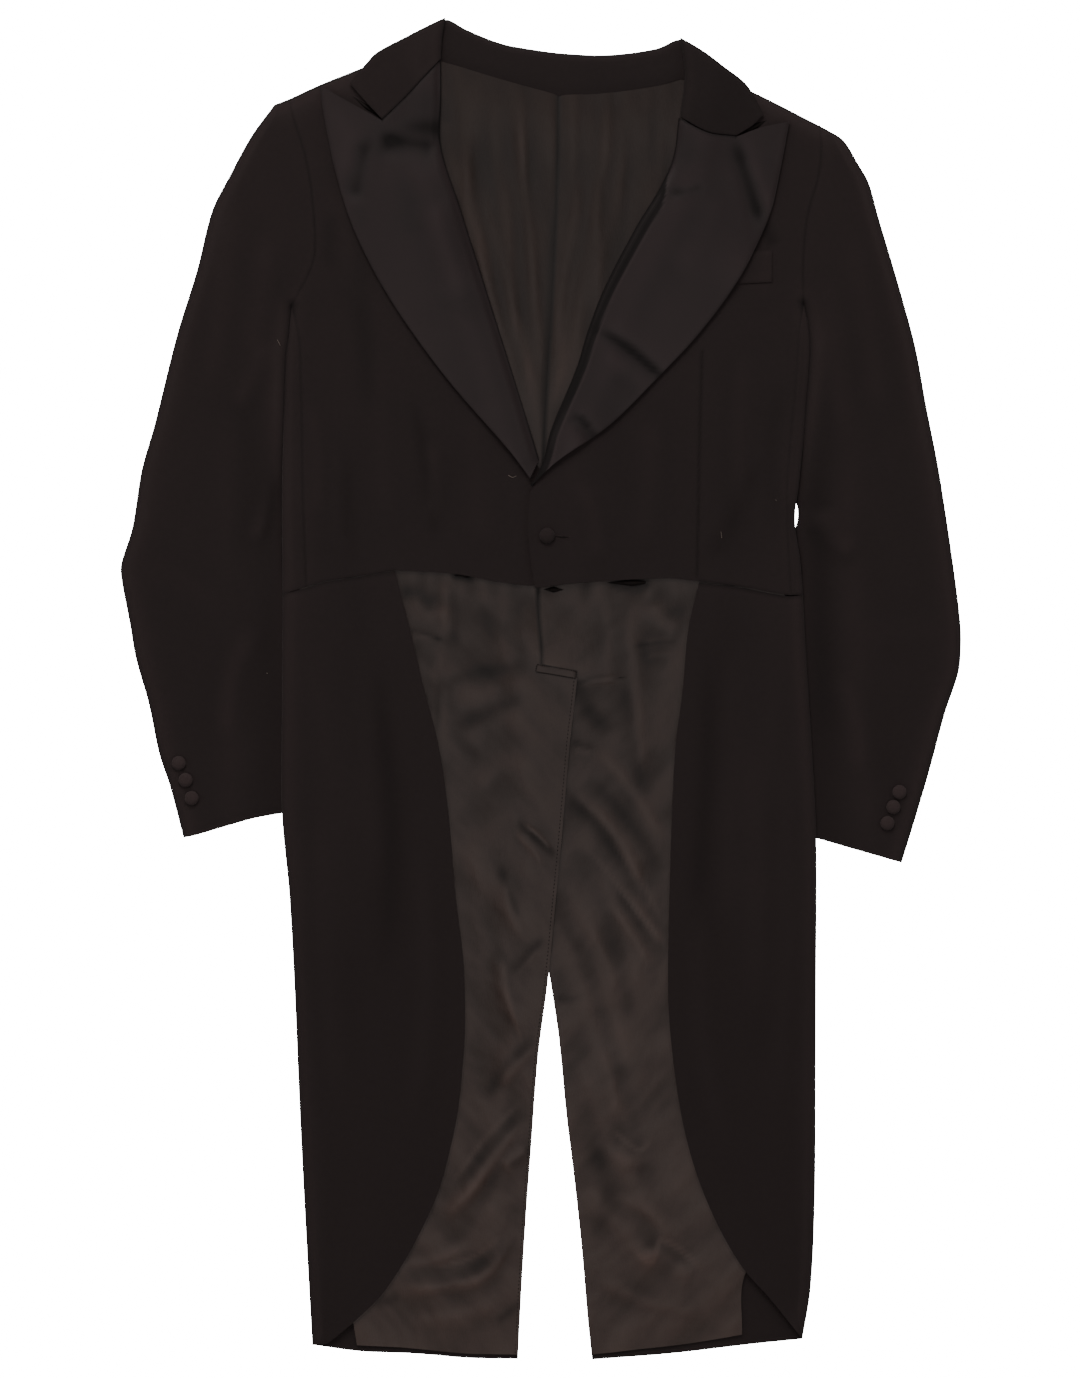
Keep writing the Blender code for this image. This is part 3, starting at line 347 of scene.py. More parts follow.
# %% Lines of the pattern
CENTRE_SEAM = ((15, 505), (13.6, 424), (9.4, 331), (4.3, 246), (0, 140), (-2.6, 84), (0.9, 21.5))
LINES = {
    "right": {
        "shoulder": ((-92, 552), (-120, 542), (-147, 531), (-188, 514.5), (-214, 502.5)),
        "armhole": (
            (-214, 502.5), (-211, 488), (-201, 456), (-195, 423), (-192, 374), (-197, 354), (-212.5, 326),
        ),
        "side": ((-212.5, 326), (-215, 301), (-217.5, 280), (-219, 230), (-220.2, 161), (-219.5, 80.5)),
        "tail side": (
            (-219.5, 80.5), (-220.2, -20), (-220.2, -106), (-214.2, -172), (-210, -250), (-206, -345),
            (-203, -408), (-198, -501), (-194.7, -558),
        ),
        "side seam": ((-212.5, 326), (-206, 300), (-204, 262), (-202, 168), (-199, 87)),
        "side body seam": ((-197, 354), (-166, 312), (-122, 235), (-97, 160), (-88, 84)),
        "pleat seam": ((-88, 84), (-84, 0), (-84, -200), (-86, -400), (-88, -567)),
        "sleeve outer": (
            (-227, 497.5), (-247, 470), (-266, 435), (-280, 407), (-293, 356), (-310, 301), (-329, 225),
            (-340, 186), (-348, 137), (-357.5, 106), (-357, 93), (-350, 56), (-345, 27), (-334, -12),
            (-325, -55), (-316, -82), (-304.3, -126.4),
        ),
        "sleeve inner": (
            (-213.9, 326), (-216.4, 301), (-218.9, 280), (-220.4, 230), (-221.6, 161), (-221, 118),
            (-206, 20), (-184, -100),
        ),
        "cuff": ((-304.3, -126.4), (-293, -124), (-266, -116), (-240, -109), (-184, -100)),
        "waist": ((-219.5, 80.5), (-199, 86), (-185, 90.5), (-167, 93.5), (-144.5, 97), (-124, 100.5)),
        "front hem": ((-124, 100.5), (-76, 98), (-36, 91), (-4, 88), (14, 93)),
        "front edge": (
            (-92, 552), (-92, 500), (-91.5, 461), (-76, 410), (-51, 331), (-27, 255), (-7, 198), (10, 168),
            (17, 145), (18, 120), (14, 93),
        ),
        "cutaway": (
            (-124, 100.5), (-110, 45), (-101, 7), (-87.5, -46), (-79, -103), (-73, -172), (-66, -232),
            (-64.6, -282), (-66, -313), (-71, -360), (-79, -398), (-88, -429), (-101, -458), (-116, -486),
            (-135, -514), (-157, -536), (-181, -556),
        ),
        "roll": ((-85, 534), (-85, 500), (-85, 461), (-69, 410), (-44, 331), (-20, 255), (-1.5, 195)),
        "lapel edge": (
            (-188, 513), (-185, 491), (-174, 437), (-158, 388), (-128, 331), (-82, 266), (-26, 201),
            (-9.5, 179),
        ),
        "lapel peak": ((-188, 513), (-162, 498), (-135, 483)),
        "gorge": ((-135, 483.4), (-114, 503), (-100, 518), (-85, 534)),
        "collar top": ((-81, 570.6), (-112, 555), (-139.4, 540.7), (-148, 532), (-162.4, 514.5)),
        "collar end": ((-162.4, 514.5), (-149, 499), (-135, 484)),
        "collar inner": ((-81, 570.6), (-84, 552), (-85, 535)),
        "centre": CENTRE_SEAM,
        "vent edge": (
            (31.5, 15.5), (28.5, -12), (24.5, -46), (21, -87), (17, -133), (12.5, -180), (6, -247),
            (-2.5, -313), (-8.5, -392), (-12, -438), (-16, -501), (-19.6, -570),
        ),
        "hem": ((-194.7, -558), (-154, -564), (-114, -566), (-64, -570), (-19.6, -570.5)),
        "lining side": (
            (-198, 488), (-189, 456), (-183, 400), (-184, 356), (-198, 310), (-203, 230), (-205, 161),
            (-205, 82), (-206, -106), (-198, -190), (-193, -280), (-189, -390), (-184, -460), (-164, -518),
            (-156.5, -558),
        ),
        "lining shoulder": ((-198, 488), (-150, 512), (-92, 534)),
        "lining hem": ((-156.5, -559), (-114, -561), (-64, -565.5), (-19.6, -566)),
        "neck": ((-86, 534), (-70, 529.5), (-39, 520), (-9, 511.5), (15, 505)),
    },
    "left": {
        "shoulder": ((128, 537), (150, 524), (175, 511), (195.5, 501), (222.7, 487), (236.3, 480)),
        "armhole": ((236.3, 480), (238.5, 462), (236, 437), (226, 399), (222.7, 355), (223.6, 328)),
        "side": (
            (223.6, 328), (227.8, 309.6), (229.5, 287.5), (225.3, 234), (219, 172), (216, 150), (216.5, 134),
            (220, 112), (222.7, 80),
        ),
        "tail side": (
            (222.7, 80), (225.3, 29), (230.4, -52), (234, -127), (234, -250), (233.8, -345), (233, -438),
            (229.5, -510), (222.5, -553),
        ),
        "side seam": ((223.6, 328), (219.5, 300), (217, 262), (209, 168), (212, 80)),
        "side body seam": ((222.7, 355), (180, 312), (128, 235), (100, 160), (88, 84)),
        "pleat seam": ((88, 84), (84, 0), (86, -200), (92, -400), (98, -566.5)),
        "sleeve outer": (
            (244, 476), (257.6, 467), (270, 447), (279, 431), (287.5, 401), (298, 366), (309, 328),
            (319, 290), (328, 241), (337.5, 193), (344.5, 150), (353, 91), (357, 56), (357.5, 38),
            (355.5, 15), (344, -20), (331, -68), (320.5, -104), (307, -147.7),
        ),
        "sleeve inner": (
            (225.6, 328), (230.6, 309.6), (231.8, 287.5), (227.2, 234), (221.5, 172), (220.5, 140),
            (221.4, 112), (213, 30), (196, -117),
        ),
        "cuff": ((307, -147.7), (266, -136), (234.6, -127), (196, -117)),
        "waist": ((222.7, 80), (209, 79), (171, 86), (134.3, 91)),
        "front hem": ((134.3, 91), (111, 93.7), (60, 92), (27, 90), (-5, 86)),
        "front edge": (
            (128, 537), (127, 515), (124, 486), (119.5, 456), (112, 426), (92, 388), (70, 342), (52, 296),
            (36, 258), (17, 214), (4, 190), (-6, 175), (-9.4, 166), (-11, 137), (-9, 110), (-5, 86),
        ),
        "cutaway": (
            (134.3, 91), (125, 50), (120.7, 2), (114, -52), (111.4, -106), (109.7, -157), (108, -250),
            (110.5, -298), (119, -360), (131, -408), (149.6, -454), (171.7, -492), (193.8, -517), (222, -552),
        ),
        "roll": (
            (117, 485), (112.5, 452), (100, 424), (81.6, 394), (54.4, 342), (40, 305), (30.6, 274),
            (8.5, 220), (1.7, 194), (-7, 174.5),
        ),
        "lapel edge": (
            (210.8, 482), (204, 445), (195.5, 407), (184.5, 380), (165.8, 344.5), (133.5, 301), (97.8, 263),
            (57, 223), (13.6, 193), (-8.2, 172.5),
        ),
        "lapel peak": ((210.8, 482), (187, 477), (165.8, 469)),
        "gorge": ((165.8, 469.4), (141, 472.5), (117, 485)),
        "collar top": ((118, 553.6), (138.6, 541), (154.7, 529), (175, 512.8), (189, 488)),
        "collar end": ((189, 488), (180, 479), (165.8, 470)),
        "collar inner": ((118, 553.6), (122, 522), (118, 486)),
        "centre": CENTRE_SEAM,
        "vent edge": (
            (0.9, 21.5), (-2, -12), (-3, -80), (-1, -150), (3, -215), (9, -255), (15.3, -298), (21.3, -360),
            (27.2, -408), (34, -470), (40, -539), (43.4, -570.6),
        ),
        "hem": ((222.5, -553), (184.5, -557), (127.5, -564), (75, -568.2), (43.4, -570.6)),
        "lining side": (
            (220, 466), (219, 437), (209, 399), (207, 356), (211, 310), (210, 230), (203, 161), (207, 82),
            (217, -106), (219, -190), (219, -280), (218, -390), (202, -455), (173, -499), (171, -549),
        ),
        "lining shoulder": ((220, 466), (175, 495), (126, 518)),
        "lining hem": ((171, -553), (127.5, -559), (75, -563.4), (43.4, -566)),
        "neck": ((120, 518.5), (100, 513), (57, 507), (15, 505)),
    },
}
print(sum(map(len, LINES.values())), "lines")

# %% Lines of the collar stand and of what lies under the body
# The collar stand, one row for each station from right to left. Columns: seam x, seam y, top x, top y
COLLAR_STATIONS = (
    (-84.2, 534.5, -80.2, 570.0),
    (-69.7, 530.0, -64.0, 561.5),
    (-39.0, 520.6, -34.0, 549.5),
    (-9.4, 512.2, -5.0, 544.0),
    (15.0, 505.6, 19.0, 541.0),
    (57.0, 507.6, 56.0, 539.6),
    (100.0, 513.8, 98.0, 545.0),
    (117.3, 519.0, 117.6, 553.0),
)

# Where a sleeve's hidden inner edge lies under the body. Columns: y, right x, left x
SLEEVE_TUCK = ((200, -221, 221), (118, -221, 221.4), (20, -206, 212), (-110, -182, 197), (-300, -182, 197))
print(len(COLLAR_STATIONS), "stations")

# %% [markdown]
# Curves and levels
#
# Every panel is drawn from those lines: a smooth curve through the places, shares of its length, and the
# distance of a place from it. Numpy works on all places of a panel at once.


# %% Curves
def drawn(points, steps=14):
    """A smooth line through the points, as many short straights."""
    points = np.array(points, float)
    if len(points) == 2:
        return points
    padded = np.vstack([2 * points[0] - points[1], points, 2 * points[-1] - points[-2]])
    line = []
    for k in range(len(points) - 1):
        p0, p1, p2, p3 = padded[k : k + 4]
        gap = np.linalg.norm(p2 - p1)
        start = (p2 - p0) / (np.linalg.norm(p1 - p0) + gap) * gap
        end = (p3 - p1) / (np.linalg.norm(p3 - p2) + gap) * gap
        t = (np.arange(steps) / steps)[:, None]
        line.append((2 * t**3 - 3 * t**2 + 1) * p1 + (t**3 - 2 * t**2 + t) * start)
        line[-1] = line[-1] + (3 * t**2 - 2 * t**3) * p2 + (t**3 - t**2) * end
    return np.vstack([*line, points[-1:]])


def lengths(line):
    return np.concatenate([[0.0], np.cumsum(np.linalg.norm(np.diff(line, axis=0), axis=1))])


def at(line, shares):
    """Places on a line at the given shares of its length."""
    run = lengths(line)
    where = np.array(shares) * run[-1]
    return np.stack([np.interp(where, run, line[:, k]) for k in range(2)], axis=-1)


def even(count):
    return np.linspace(0, 1, count + 1)


def smooth(share):
    share = np.clip(share, 0, 1)
    return share * share * (3 - 2 * share)


def spin(angle):
    """Places times this matrix are turned in the plane."""
    return np.array([[math.cos(angle), math.sin(angle)], [-math.sin(angle), math.cos(angle)]])


def along_line(line, places):
    """For each place: its distance from the line, the share of the line nearest to it, and its side."""
    start, along = line[:-1], np.diff(line, axis=0)
    square = np.maximum((along**2).sum(-1), 1e-9)
    flat = places.reshape(-1, 1, 2) - start
    share = np.clip((flat * along).sum(-1) / square, 0, 1)
    gap = np.sqrt(((flat - share[..., None] * along) ** 2).sum(-1))
    nearest = gap.argmin(1)
    row = np.arange(len(nearest))
    run = lengths(line)
    at_share = (run[nearest] + share[row, nearest] * (run[nearest + 1] - run[nearest])) / run[-1]
    across = flat[row, nearest, 0] * along[nearest, 1] - flat[row, nearest, 1] * along[nearest, 0]
    shape = places.shape[:-1]
    return gap[row, nearest].reshape(shape), at_share.reshape(shape), np.sign(across).reshape(shape)


def distance(line, places):
    return along_line(line, places)[0]


CURVES = {side: {name: drawn(points) for name, points in lines.items()} for side, lines in LINES.items()}
# The sleeve meets the body's side, but for one small gap on the wearer's left
SLEEVE_MEETS = 0.6
GAP_MIDDLE, GAP_HALF, GAP_WIDTH = 148.0, 12.0, 3.3
SLEEVE_STEPS = 300
# Below this level the sleeve's inner edge lies under the body
SLEEVE_UNDER = 20
for side, curves in CURVES.items():
    out = 1 if side == "left" else -1
    inner = curves["sleeve inner"] = at(curves["sleeve inner"], even(SLEEVE_STEPS))
    body = np.vstack([curves["side"], curves["tail side"]])
    level = np.interp(-inner[:, 1], -body[:, 1], body[:, 0])
    apart = np.minimum(out * (inner[:, 0] - level), -SLEEVE_MEETS)
    if side == "left":
        apart += GAP_WIDTH * np.clip(1 - ((inner[:, 1] - GAP_MIDDLE) / GAP_HALF) ** 2, 0, 1)
    high = inner[:, 1] > SLEEVE_UNDER
    inner[high, 0] = (level + out * apart)[high]
NECK_SEAM = drawn([station[:2] for station in COLLAR_STATIONS])
OUTLINES = {
    side: {
        "body": [curves[name] for name in ("shoulder", "side", "tail side", "sleeve outer")],
        "sleeve": [curves[name] for name in ("shoulder", "sleeve inner", "sleeve outer")]
        + [np.array([curves["shoulder"][-1], curves["sleeve outer"][0]])],
    }
    for side, curves in CURVES.items()
}
print({side: len(curves) for side, curves in CURVES.items()}, "curves")

# %% [markdown]
# Creases
#
# A laid-out coat keeps soft folds: long shallow waves in the wool, and sharper, uneven ones in the lining,
# which is thinner than the cloth and a little too long for it. Each is placed as a curve with a width and a
# height. A fold leans: it rises gently on one side and falls more sharply on the other. Columns, under each
# panel: half width, height, lean, and the places that it runs through.

# %% Creases of the lining
LINING_CREASES = {
    "right lining": (
        (7, 1.7, 0.5, ((-15, -360), (-50, -415), (-88, -456))),
        (5, 0.9, -0.4, ((-9, -390), (-36, -408))),
        (7, 1.5, 0.5, ((-20, -456), (-49, -500), (-84, -508), (-124, -513))),
        (5, 0.7, 0.3, ((-58, -472), (-90, -486), (-122, -490))),
        (6, 0.9, 0.4, ((-3, -300), (-37, -340))),
        (6, 1.0, -0.5, ((-40, -224), (-30, -262), (-16, -294))),
        (4, 0.7, 0.4, ((0, -220), (-26, -246))),
        (5, 0.9, 0.5, ((-31, -156), (-28, -185), (-16, -214))),
        (3.2, 1.5, 0.6, ((-19, -112), (-2, -124), (11, -141))),
        (3.0, 0.9, -0.5, ((-22, -122), (-6, -138), (2, -152))),
        (13, 1.1, 0.2, ((-74, -14), (-42, 0), (-4, 4))),
        (12, 1.2, 0.3, ((-70, -48), (-40, -26), (-6, -22))),
        (10, 0.8, -0.3, ((-60, -84), (-30, -62), (0, -70))),
        (3.0, 0.9, 0.5, ((-112, 49), (-86, 44))),
        (8, 1.3, 0.3, ((-112, 84), (-96, 66), (-74, 68))),
        (7, 1.0, -0.4, ((-84, 96), (-80, 70), (-84, 40))),
        (5, 0.5, 0.2, ((-84, 52), (-85, 0), (-80, -60))),
        (9, 0.7, 0.2, ((-60, -110), (-54, -180), (-48, -240))),
        (6, 0.6, 0.3, ((-30, 84), (-34, 50), (-26, 12))),
        (4, 0.5, -0.3, ((-12, 74), (-16, 40))),
        (10, 0.8, 0.5, ((-4, -250), (-26, -310), (-44, -390), (-80, -470))),
        (8, 0.7, -0.4, ((-12, -340), (-26, -400), (-54, -460), (-90, -488))),
        (9, 0.8, 0.4, ((-24, -420), (-40, -462), (-70, -490))),
        (10, 0.6, 0.3, ((-66, -120), (-44, -160), (-30, -230), (-32, -300))),
        (8, 0.7, -0.4, ((-30, -520), (-70, -534), (-120, -540))),
        (9, 1.5, 0.4, ((-74, 500), (-46, 350), (-6, 214))),
        (6, 1.3, -0.4, ((-50, 440), (-26, 330), (0, 222))),
        (6, 1.1, 0.3, ((-22, 530), (-8, 370), (3, 240))),
        (4, 0.9, 0.3, ((-60, 400), (-38, 300), (-14, 228))),
    ),
    "left lining": (
        (6, 1.6, -0.5, ((20, -84), (52, -110), (76, -146), (88, -182))),
        (6, 1.2, -0.4, ((44, -48), (76, -84), (107, -136))),
        (5, 1.0, 0.4, ((66, -160), (90, -196), (107, -220))),
        (5, 1.0, -0.4, ((54, -178), (74, -204), (96, -240))),
        (4, 0.6, 0.3, ((40, -196), (58, -236), (66, -262))),
        (3.6, 1.4, 0.4, ((28, 5), (50, 8), (74, 10))),
        (3.6, 1.0, 0.5, ((28, -49), (45, -53))),
        (9, -0.5, 0.0, ((32, -16), (44, -24), (52, -34))),
        (9, -0.9, 0.0, ((62, 90), (92, 89))),
        (8, 1.2, 0.3, ((73, 86), (80, 10), (87, -94))),
        (9, 0.9, -0.5, ((24, -110), (58, -168), (78, -230), (86, -290))),
        (8, 0.8, -0.4, ((14, -150), (44, -212), (66, -290), (84, -350))),
        (8, 0.8, 0.4, ((12, -200), (36, -262), (56, -330), (84, -400))),
        (10, 0.8, -0.4, ((28, -300), (50, -360), (84, -430), (120, -470))),
        (9, 0.7, 0.4, ((36, -420), (64, -456), (104, -500))),
        (7, 0.7, -0.3, ((44, -500), (84, -520), (140, -530))),
        (6, 0.7, -0.3, ((54, 84), (58, 40), (56, -10))),
        (7, 0.9, 0.4, ((78, -486), (102, -482), (130, -506))),
        (6, 0.7, -0.4, ((60, -430), (92, -446), (112, -470))),
        (6, 0.6, 0.3, ((42, -380), (70, -400), (100, -398))),
        (4, 0.8, 0.3, ((86, 39), (113, 41))),
        (3.4, 0.7, -0.3, ((88, 28), (112, 30))),
        (8, 1.2, 0.3, ((96, 78), (104, 58), (120, 52))),
        (5, 0.5, 0.2, ((52, -300), (62, -340), (60, -372))),
        (8, 1.4, -0.4, ((62, 520), (38, 350), (14, 236))),
        (6, 1.1, 0.4, ((96, 410), (58, 330), (22, 238))),
        (5, 1.0, -0.3, ((36, 450), (20, 350), (9, 232))),
        (6, 0.6, 0.2, ((76, 480), (60, 400), (40, 320))),
    ),
}
print(sum(map(len, LINING_CREASES.values())), "creases in the lining")

# %% Creases of the wool and satin
CLOTH_CREASES = {
    "right front": (
        (8, 0.8, 0.3, ((-168, 222), (-170, 160), (-166, 98))),
        (7, 0.8, -0.3, ((-95, 216), (-92, 176), (-94, 136))),
        (12, 0.7, 0.2, ((-140, 300), (-136, 220), (-130, 130))),
        (14, 0.6, -0.2, ((-60, 250), (-54, 180), (-50, 110))),
        (9, 0.6, 0.2, ((-178, 440), (-164, 380), (-150, 310))),
        (7, 0.5, 0.2, ((-196, 250), (-190, 200), (-188, 140))),
        (13, 0.5, 0.3, ((-150, 60), (-146, -60), (-140, -180))),
        (12, 0.5, -0.3, ((-186, -60), (-184, -220), (-170, -380))),
        (10, 0.4, 0.2, ((-104, -120), (-98, -260), (-112, -380))),
    ),
    "left front": (
        (12, 0.7, 0.2, ((96, 240), (92, 180), (84, 110))),
        (10, 0.7, -0.3, ((176, 300), (168, 220), (172, 130))),
        (9, 0.6, 0.2, ((190, 440), (196, 380), (186, 320))),
        (8, 0.5, 0.3, ((30, 180), (44, 150), (48, 104))),
        (13, 0.5, -0.3, ((166, 60), (160, -80), (158, -220))),
        (12, 0.5, 0.3, ((206, -20), (208, -200), (198, -380))),
        (10, 0.4, 0.2, ((134, -160), (136, -290), (156, -400))),
    ),
    "right sleeve": (
        (6, 1.3, 0.6, ((-223, 180), (-232, 152), (-246, 120))),
        (14, 0.25, 0.3, ((-350, 108), (-310, 94), (-262, 60))),
        (13, 0.8, -0.2, ((-262, 430), (-270, 340), (-284, 240))),
        (12, 0.7, 0.2, ((-232, 400), (-240, 320), (-262, 230))),
        (9, 0.7, 0.3, ((-240, 60), (-262, 10), (-268, -50))),
        (8, 0.6, -0.3, ((-232, 300), (-246, 262), (-262, 236))),
    ),
    "left sleeve": (
        (14, 0.25, 0.3, ((350, 50), (312, 50), (266, 40))),
        (9, 0.8, -0.4, ((234, 156), (246, 130), (266, 112))),
        (13, 0.8, 0.2, ((262, 400), (276, 320), (290, 220))),
        (12, 0.7, -0.2, ((242, 360), (250, 280), (262, 200))),
        (9, 0.6, 0.3, ((252, 20), (268, -30), (270, -80))),
    ),
    "right lapel": (
        (13, -1.3, 1.2, ((-140, 470), (-112, 462), (-84, 460))),
        (8, -1.1, 0.3, ((-148, 472), (-155, 440), (-159, 410))),
        (16, 0.9, 0.2, ((-96, 420), (-84, 380), (-62, 330))),
    ),
    "left lapel": (
        (7, -1.1, 0.4, ((165, 470), (176, 436), (190, 390))),
        (6, -0.8, 0.5, ((48, 308), (80, 286), (108, 259))),
        (6, -1.0, 0.3, ((24, 236), (36, 224), (50, 208))),
        (5, -0.6, 0.2, ((108, 424), (124, 422), (140, 428))),
        (12, 0.5, 0.2, ((150, 430), (140, 390), (112, 350))),
    ),
}
print(sum(map(len, CLOTH_CREASES.values())), "creases in the wool and satin")

# %% Shaded places
# Painted shade where the cloth turns from the light. Columns as above, with a darkness, below 0 for a
# painted highlight
SHADES = {
    "right lining": (
        (4.5, 0.8, 0.0, ((13, 440), (8, 320), (4, 256), (1, 190))),
        (4, -0.5, 0.0, ((-79, 473), (-68, 422), (-50, 377), (-41, 339))),
        (5, -0.3, 0.0, ((-34, 432), (-30, 400), (-22, 358))),
        (4, -0.5, 0.0, ((-25, 329), (-14, 291), (-7, 256))),
        (6, 0.6, 0.0, ((-85, 506), (-82, 479))),
        (4, 0.3, 0.0, ((-9, 448), (-9, 352), (-2, 256))),
        (4, 0.3, 0.0, ((-44, 511), (-42, 438), (-31, 364), (-18, 301))),
        (9, 0.25, 0.0, ((-4, 500), (0, 440), (4, 384))),
        (4, 1.6, 0.0, ((-78, 98), (-66, 96), (-56, 96))),
        (3, 1.2, 0.4, ((-22, -110), (-6, -124), (14, -142))),
        (2.0, -0.5, 0.0, ((-22, -118), (-14, -132), (-4, -146))),
        (4, 0.55, 0.3, ((-34, -146), (-30, -166), (-16, -200))),
        (6, 0.45, 0.4, ((-38, -212), (-26, -260), (-14, -300))),
        (2.0, -0.6, 0.0, ((-34, -222), (-28, -262), (-14, -306))),
        (4, 0.65, 0.3, ((4, -208), (-12, -228), (-28, -246))),
        (5, 0.65, 0.4, ((-2, -296), (-30, -322), (-48, -352))),
        (6, 0.7, 0.5, ((-6, -352), (-40, -388), (-74, -434))),
        (2.2, -0.45, 0.0, ((-12, -346), (-46, -380), (-78, -424))),
        (4, 0.6, 0.0, ((-4, -388), (-30, -408))),
        (6, 0.65, 0.4, ((-12, -458), (-52, -494), (-96, -506), (-130, -494))),
        (2.2, -0.45, 0.0, ((-30, -462), (-60, -484), (-100, -492))),
        (4, 0.5, 0.0, ((-12, -518), (-40, -540))),
        (5, 0.5, 0.0, ((-144, -524), (-118, -516))),
        (7, 0.5, 0.3, ((-98, -2), (-54, 14), (-6, 20))),
        (6, 0.45, 0.3, ((-76, -34), (-42, -20), (-10, -2))),
        (6, -0.3, 0.0, ((-76, -14), (-30, 2))),
        (7, 0.8, 0.0, ((-124, 84), (-104, 78), (-90, 62))),
        (2.2, 1.0, 0.0, ((-114, 50), (-98, 47), (-82, 41))),
        (8, 0.5, 0.0, ((-112, 42), (-88, 18))),
        (5, 0.45, 0.0, ((-78, 94), (-74, 60), (-74, 30))),
        (10, 0.35, 0.0, ((-60, 70), (-30, 40))),
        (3, 0.45, 0.0, ((-82, 30), (-87, -10), (-88, -50))),
        (6, 0.35, 0.0, ((-20, 84), (-16, 40), (-20, -20))),
        (12, 0.25, 0.0, ((-50, -80), (-30, -110))),
        (18, -0.2, 0.0, ((-60, -100), (-50, -200))),
    ),
    "left lining": (
        (4, -0.45, 0.0, ((33, 377), (23, 320), (16, 262), (9, 230))),
        (3, -0.4, 0.0, ((17, 278), (10, 237))),
        (7, 0.25, 0.0, ((55, 463), (49, 390), (36, 320))),
        (9, 0.3, 0.0, ((92, 500), (94, 438))),
        (8, 0.2, 0.0, ((24, 500), (22, 440), (19, 384))),
        (5, 1.6, 0.0, ((56, 92), (76, 90), (98, 90))),
        (8, 0.6, 0.0, ((28, 10), (42, -20), (64, -40))),
        (6, 0.6, 0.5, ((12, -76), (21, -87), (47, -111), (68, -141), (80, -170))),
        (6, 0.45, 0.4, ((36, -70), (47, -81), (77, -115), (106, -160))),
        (6, 0.6, 0.3, ((70, 20), (79, -37), (86, -95))),
        (5, 0.35, 0.0, ((73, 100), (73, 10))),
        (5, 0.4, 0.4, ((36, -130), (68, -176), (96, -216))),
        (2.0, -0.6, 0.0, ((36, -130), (68, -170), (110, -224))),
        (2.0, -0.5, 0.0, ((54, -120), (84, -160), (104, -200))),
        (3, 0.7, 0.0, ((26, -42), (36, -50), (46, -48))),
        (6, 0.3, 0.0, ((8, -170), (20, -200), (40, -232))),
        (7, 0.3, 0.0, ((40, -334), (86, -319), (112, -310))),
        (9, 0.5, 0.0, ((38, -370), (56, -427), (44, -474))),
        (8, 0.4, 0.0, ((84, -460), (120, -498))),
        (2.2, -0.6, 0.0, ((72, -470), (94, -488), (103, -468), (144, -498))),
        (2.2, -0.5, 0.0, ((58, -372), (84, -392), (96, -380))),
        (10, 0.25, 0.0, ((50, -360), (84, -400), (90, -440))),
        (2.4, 0.7, 0.0, ((76, 36), (96, 39), (116, 40))),
        (7, 0.35, 0.0, ((80, 28), (112, 28))),
        (14, 0.35, 0.0, ((92, 84), (108, 70), (128, 60))),
        (1.8, 1.2, 0.0, ((27, 6), (50, 9), (74, 10))),
        (4, 0.4, 0.0, ((10, -262), (24, -264), (40, -258))),
        (16, -0.25, 0.0, ((40, -280), (90, -306))),
        (18, -0.25, 0.0, ((106, -380), (122, -440))),
        (7, 0.3, 0.0, ((60, -500), (100, -520), (150, -530))),
    ),
    "right lapel": (
        (9, 0.55, 0.0, ((-150, 458), (-118, 470), (-84, 473), (-50, 473))),
        (8, 0.6, 0.0, ((-128, 480), (-100, 478), (-72, 477), (-44, 477))),
        (14, 0.4, 0.0, ((-124, 498), (-98, 498), (-72, 484), (-50, 478))),
        (9, 0.3, 0.0, ((-134, 500), (-147, 452), (-156, 380))),
        (9, -0.3, 0.0, ((-180, 500), (-168, 476), (-162, 430))),
        (14, 0.2, 0.0, ((-120, 440), (-104, 380))),
        (9, 0.2, 0.0, ((-50, 334), (-68, 312))),
    ),
    "left lapel": (
        (4.0, 0.55, 0.0, ((38, 312), (77, 286), (118, 253))),
        (6, -0.25, 0.0, ((52, 284), (76, 270))),
        (4, 0.45, 0.0, ((33, 234), (42, 221))),
        (5.5, 0.4, 0.0, ((160, 480), (172, 434), (192, 380))),
        (4, -0.2, 0.0, ((175, 452), (186, 430))),
        (5, 0.4, 0.0, ((100, 426), (116, 420), (124, 422))),
        (14, 0.3, 0.0, ((118, 492), (124, 440))),
        (10, 0.2, 0.0, ((60, 270), (84, 246))),
    ),
    "left front": (
        (6, 0.8, 0.0, ((188, 400), (198, 374))),
        (9, 0.4, 0.0, ((186, 202), (164, 144), (135, 102))),
        (9, 0.3, 0.0, ((206, 270), (196, 200), (204, 120))),
        (8, 0.3, 0.0, ((140, 60), (140, -80), (128, -220))),
        (10, -0.2, 0.0, ((176, -20), (182, -160), (180, -300))),
    ),
    "right front": (
        (6, 0.45, 0.0, ((-111, 256), (-98, 192), (-89, 118))),
        (6, 0.45, 0.0, ((-169, 224), (-167, 102))),
        (9, 0.4, 0.0, ((-159, 390), (-153, 320), (-143, 224))),
        (7, 0.3, 0.0, ((-178, 409), (-182, 352))),
        (9, 0.3, 0.0, ((-142, 40), (-128, -120), (-134, -260))),
    ),
    "right sleeve": (
        (7, 0.5, 0.0, ((-223, 186), (-232, 152), (-246, 120))),
        (12, 0.3, 0.0, ((-240, 300), (-252, 200), (-262, 60), (-258, -60))),
    ),
    "left sleeve": (
        (12, 0.35, 0.0, ((238, 320), (236, 180), (240, 40), (244, -80))),
        (8, 0.3, 0.0, ((232, 150), (250, 120), (272, 104))),
    ),
}
print(sum(map(len, SHADES.values())), "shaded places")

# %% What creases and crumples add
CREASES = {**LINING_CREASES, **CLOTH_CREASES}
LEAN = 0.45
CREASE_STEPS = 8


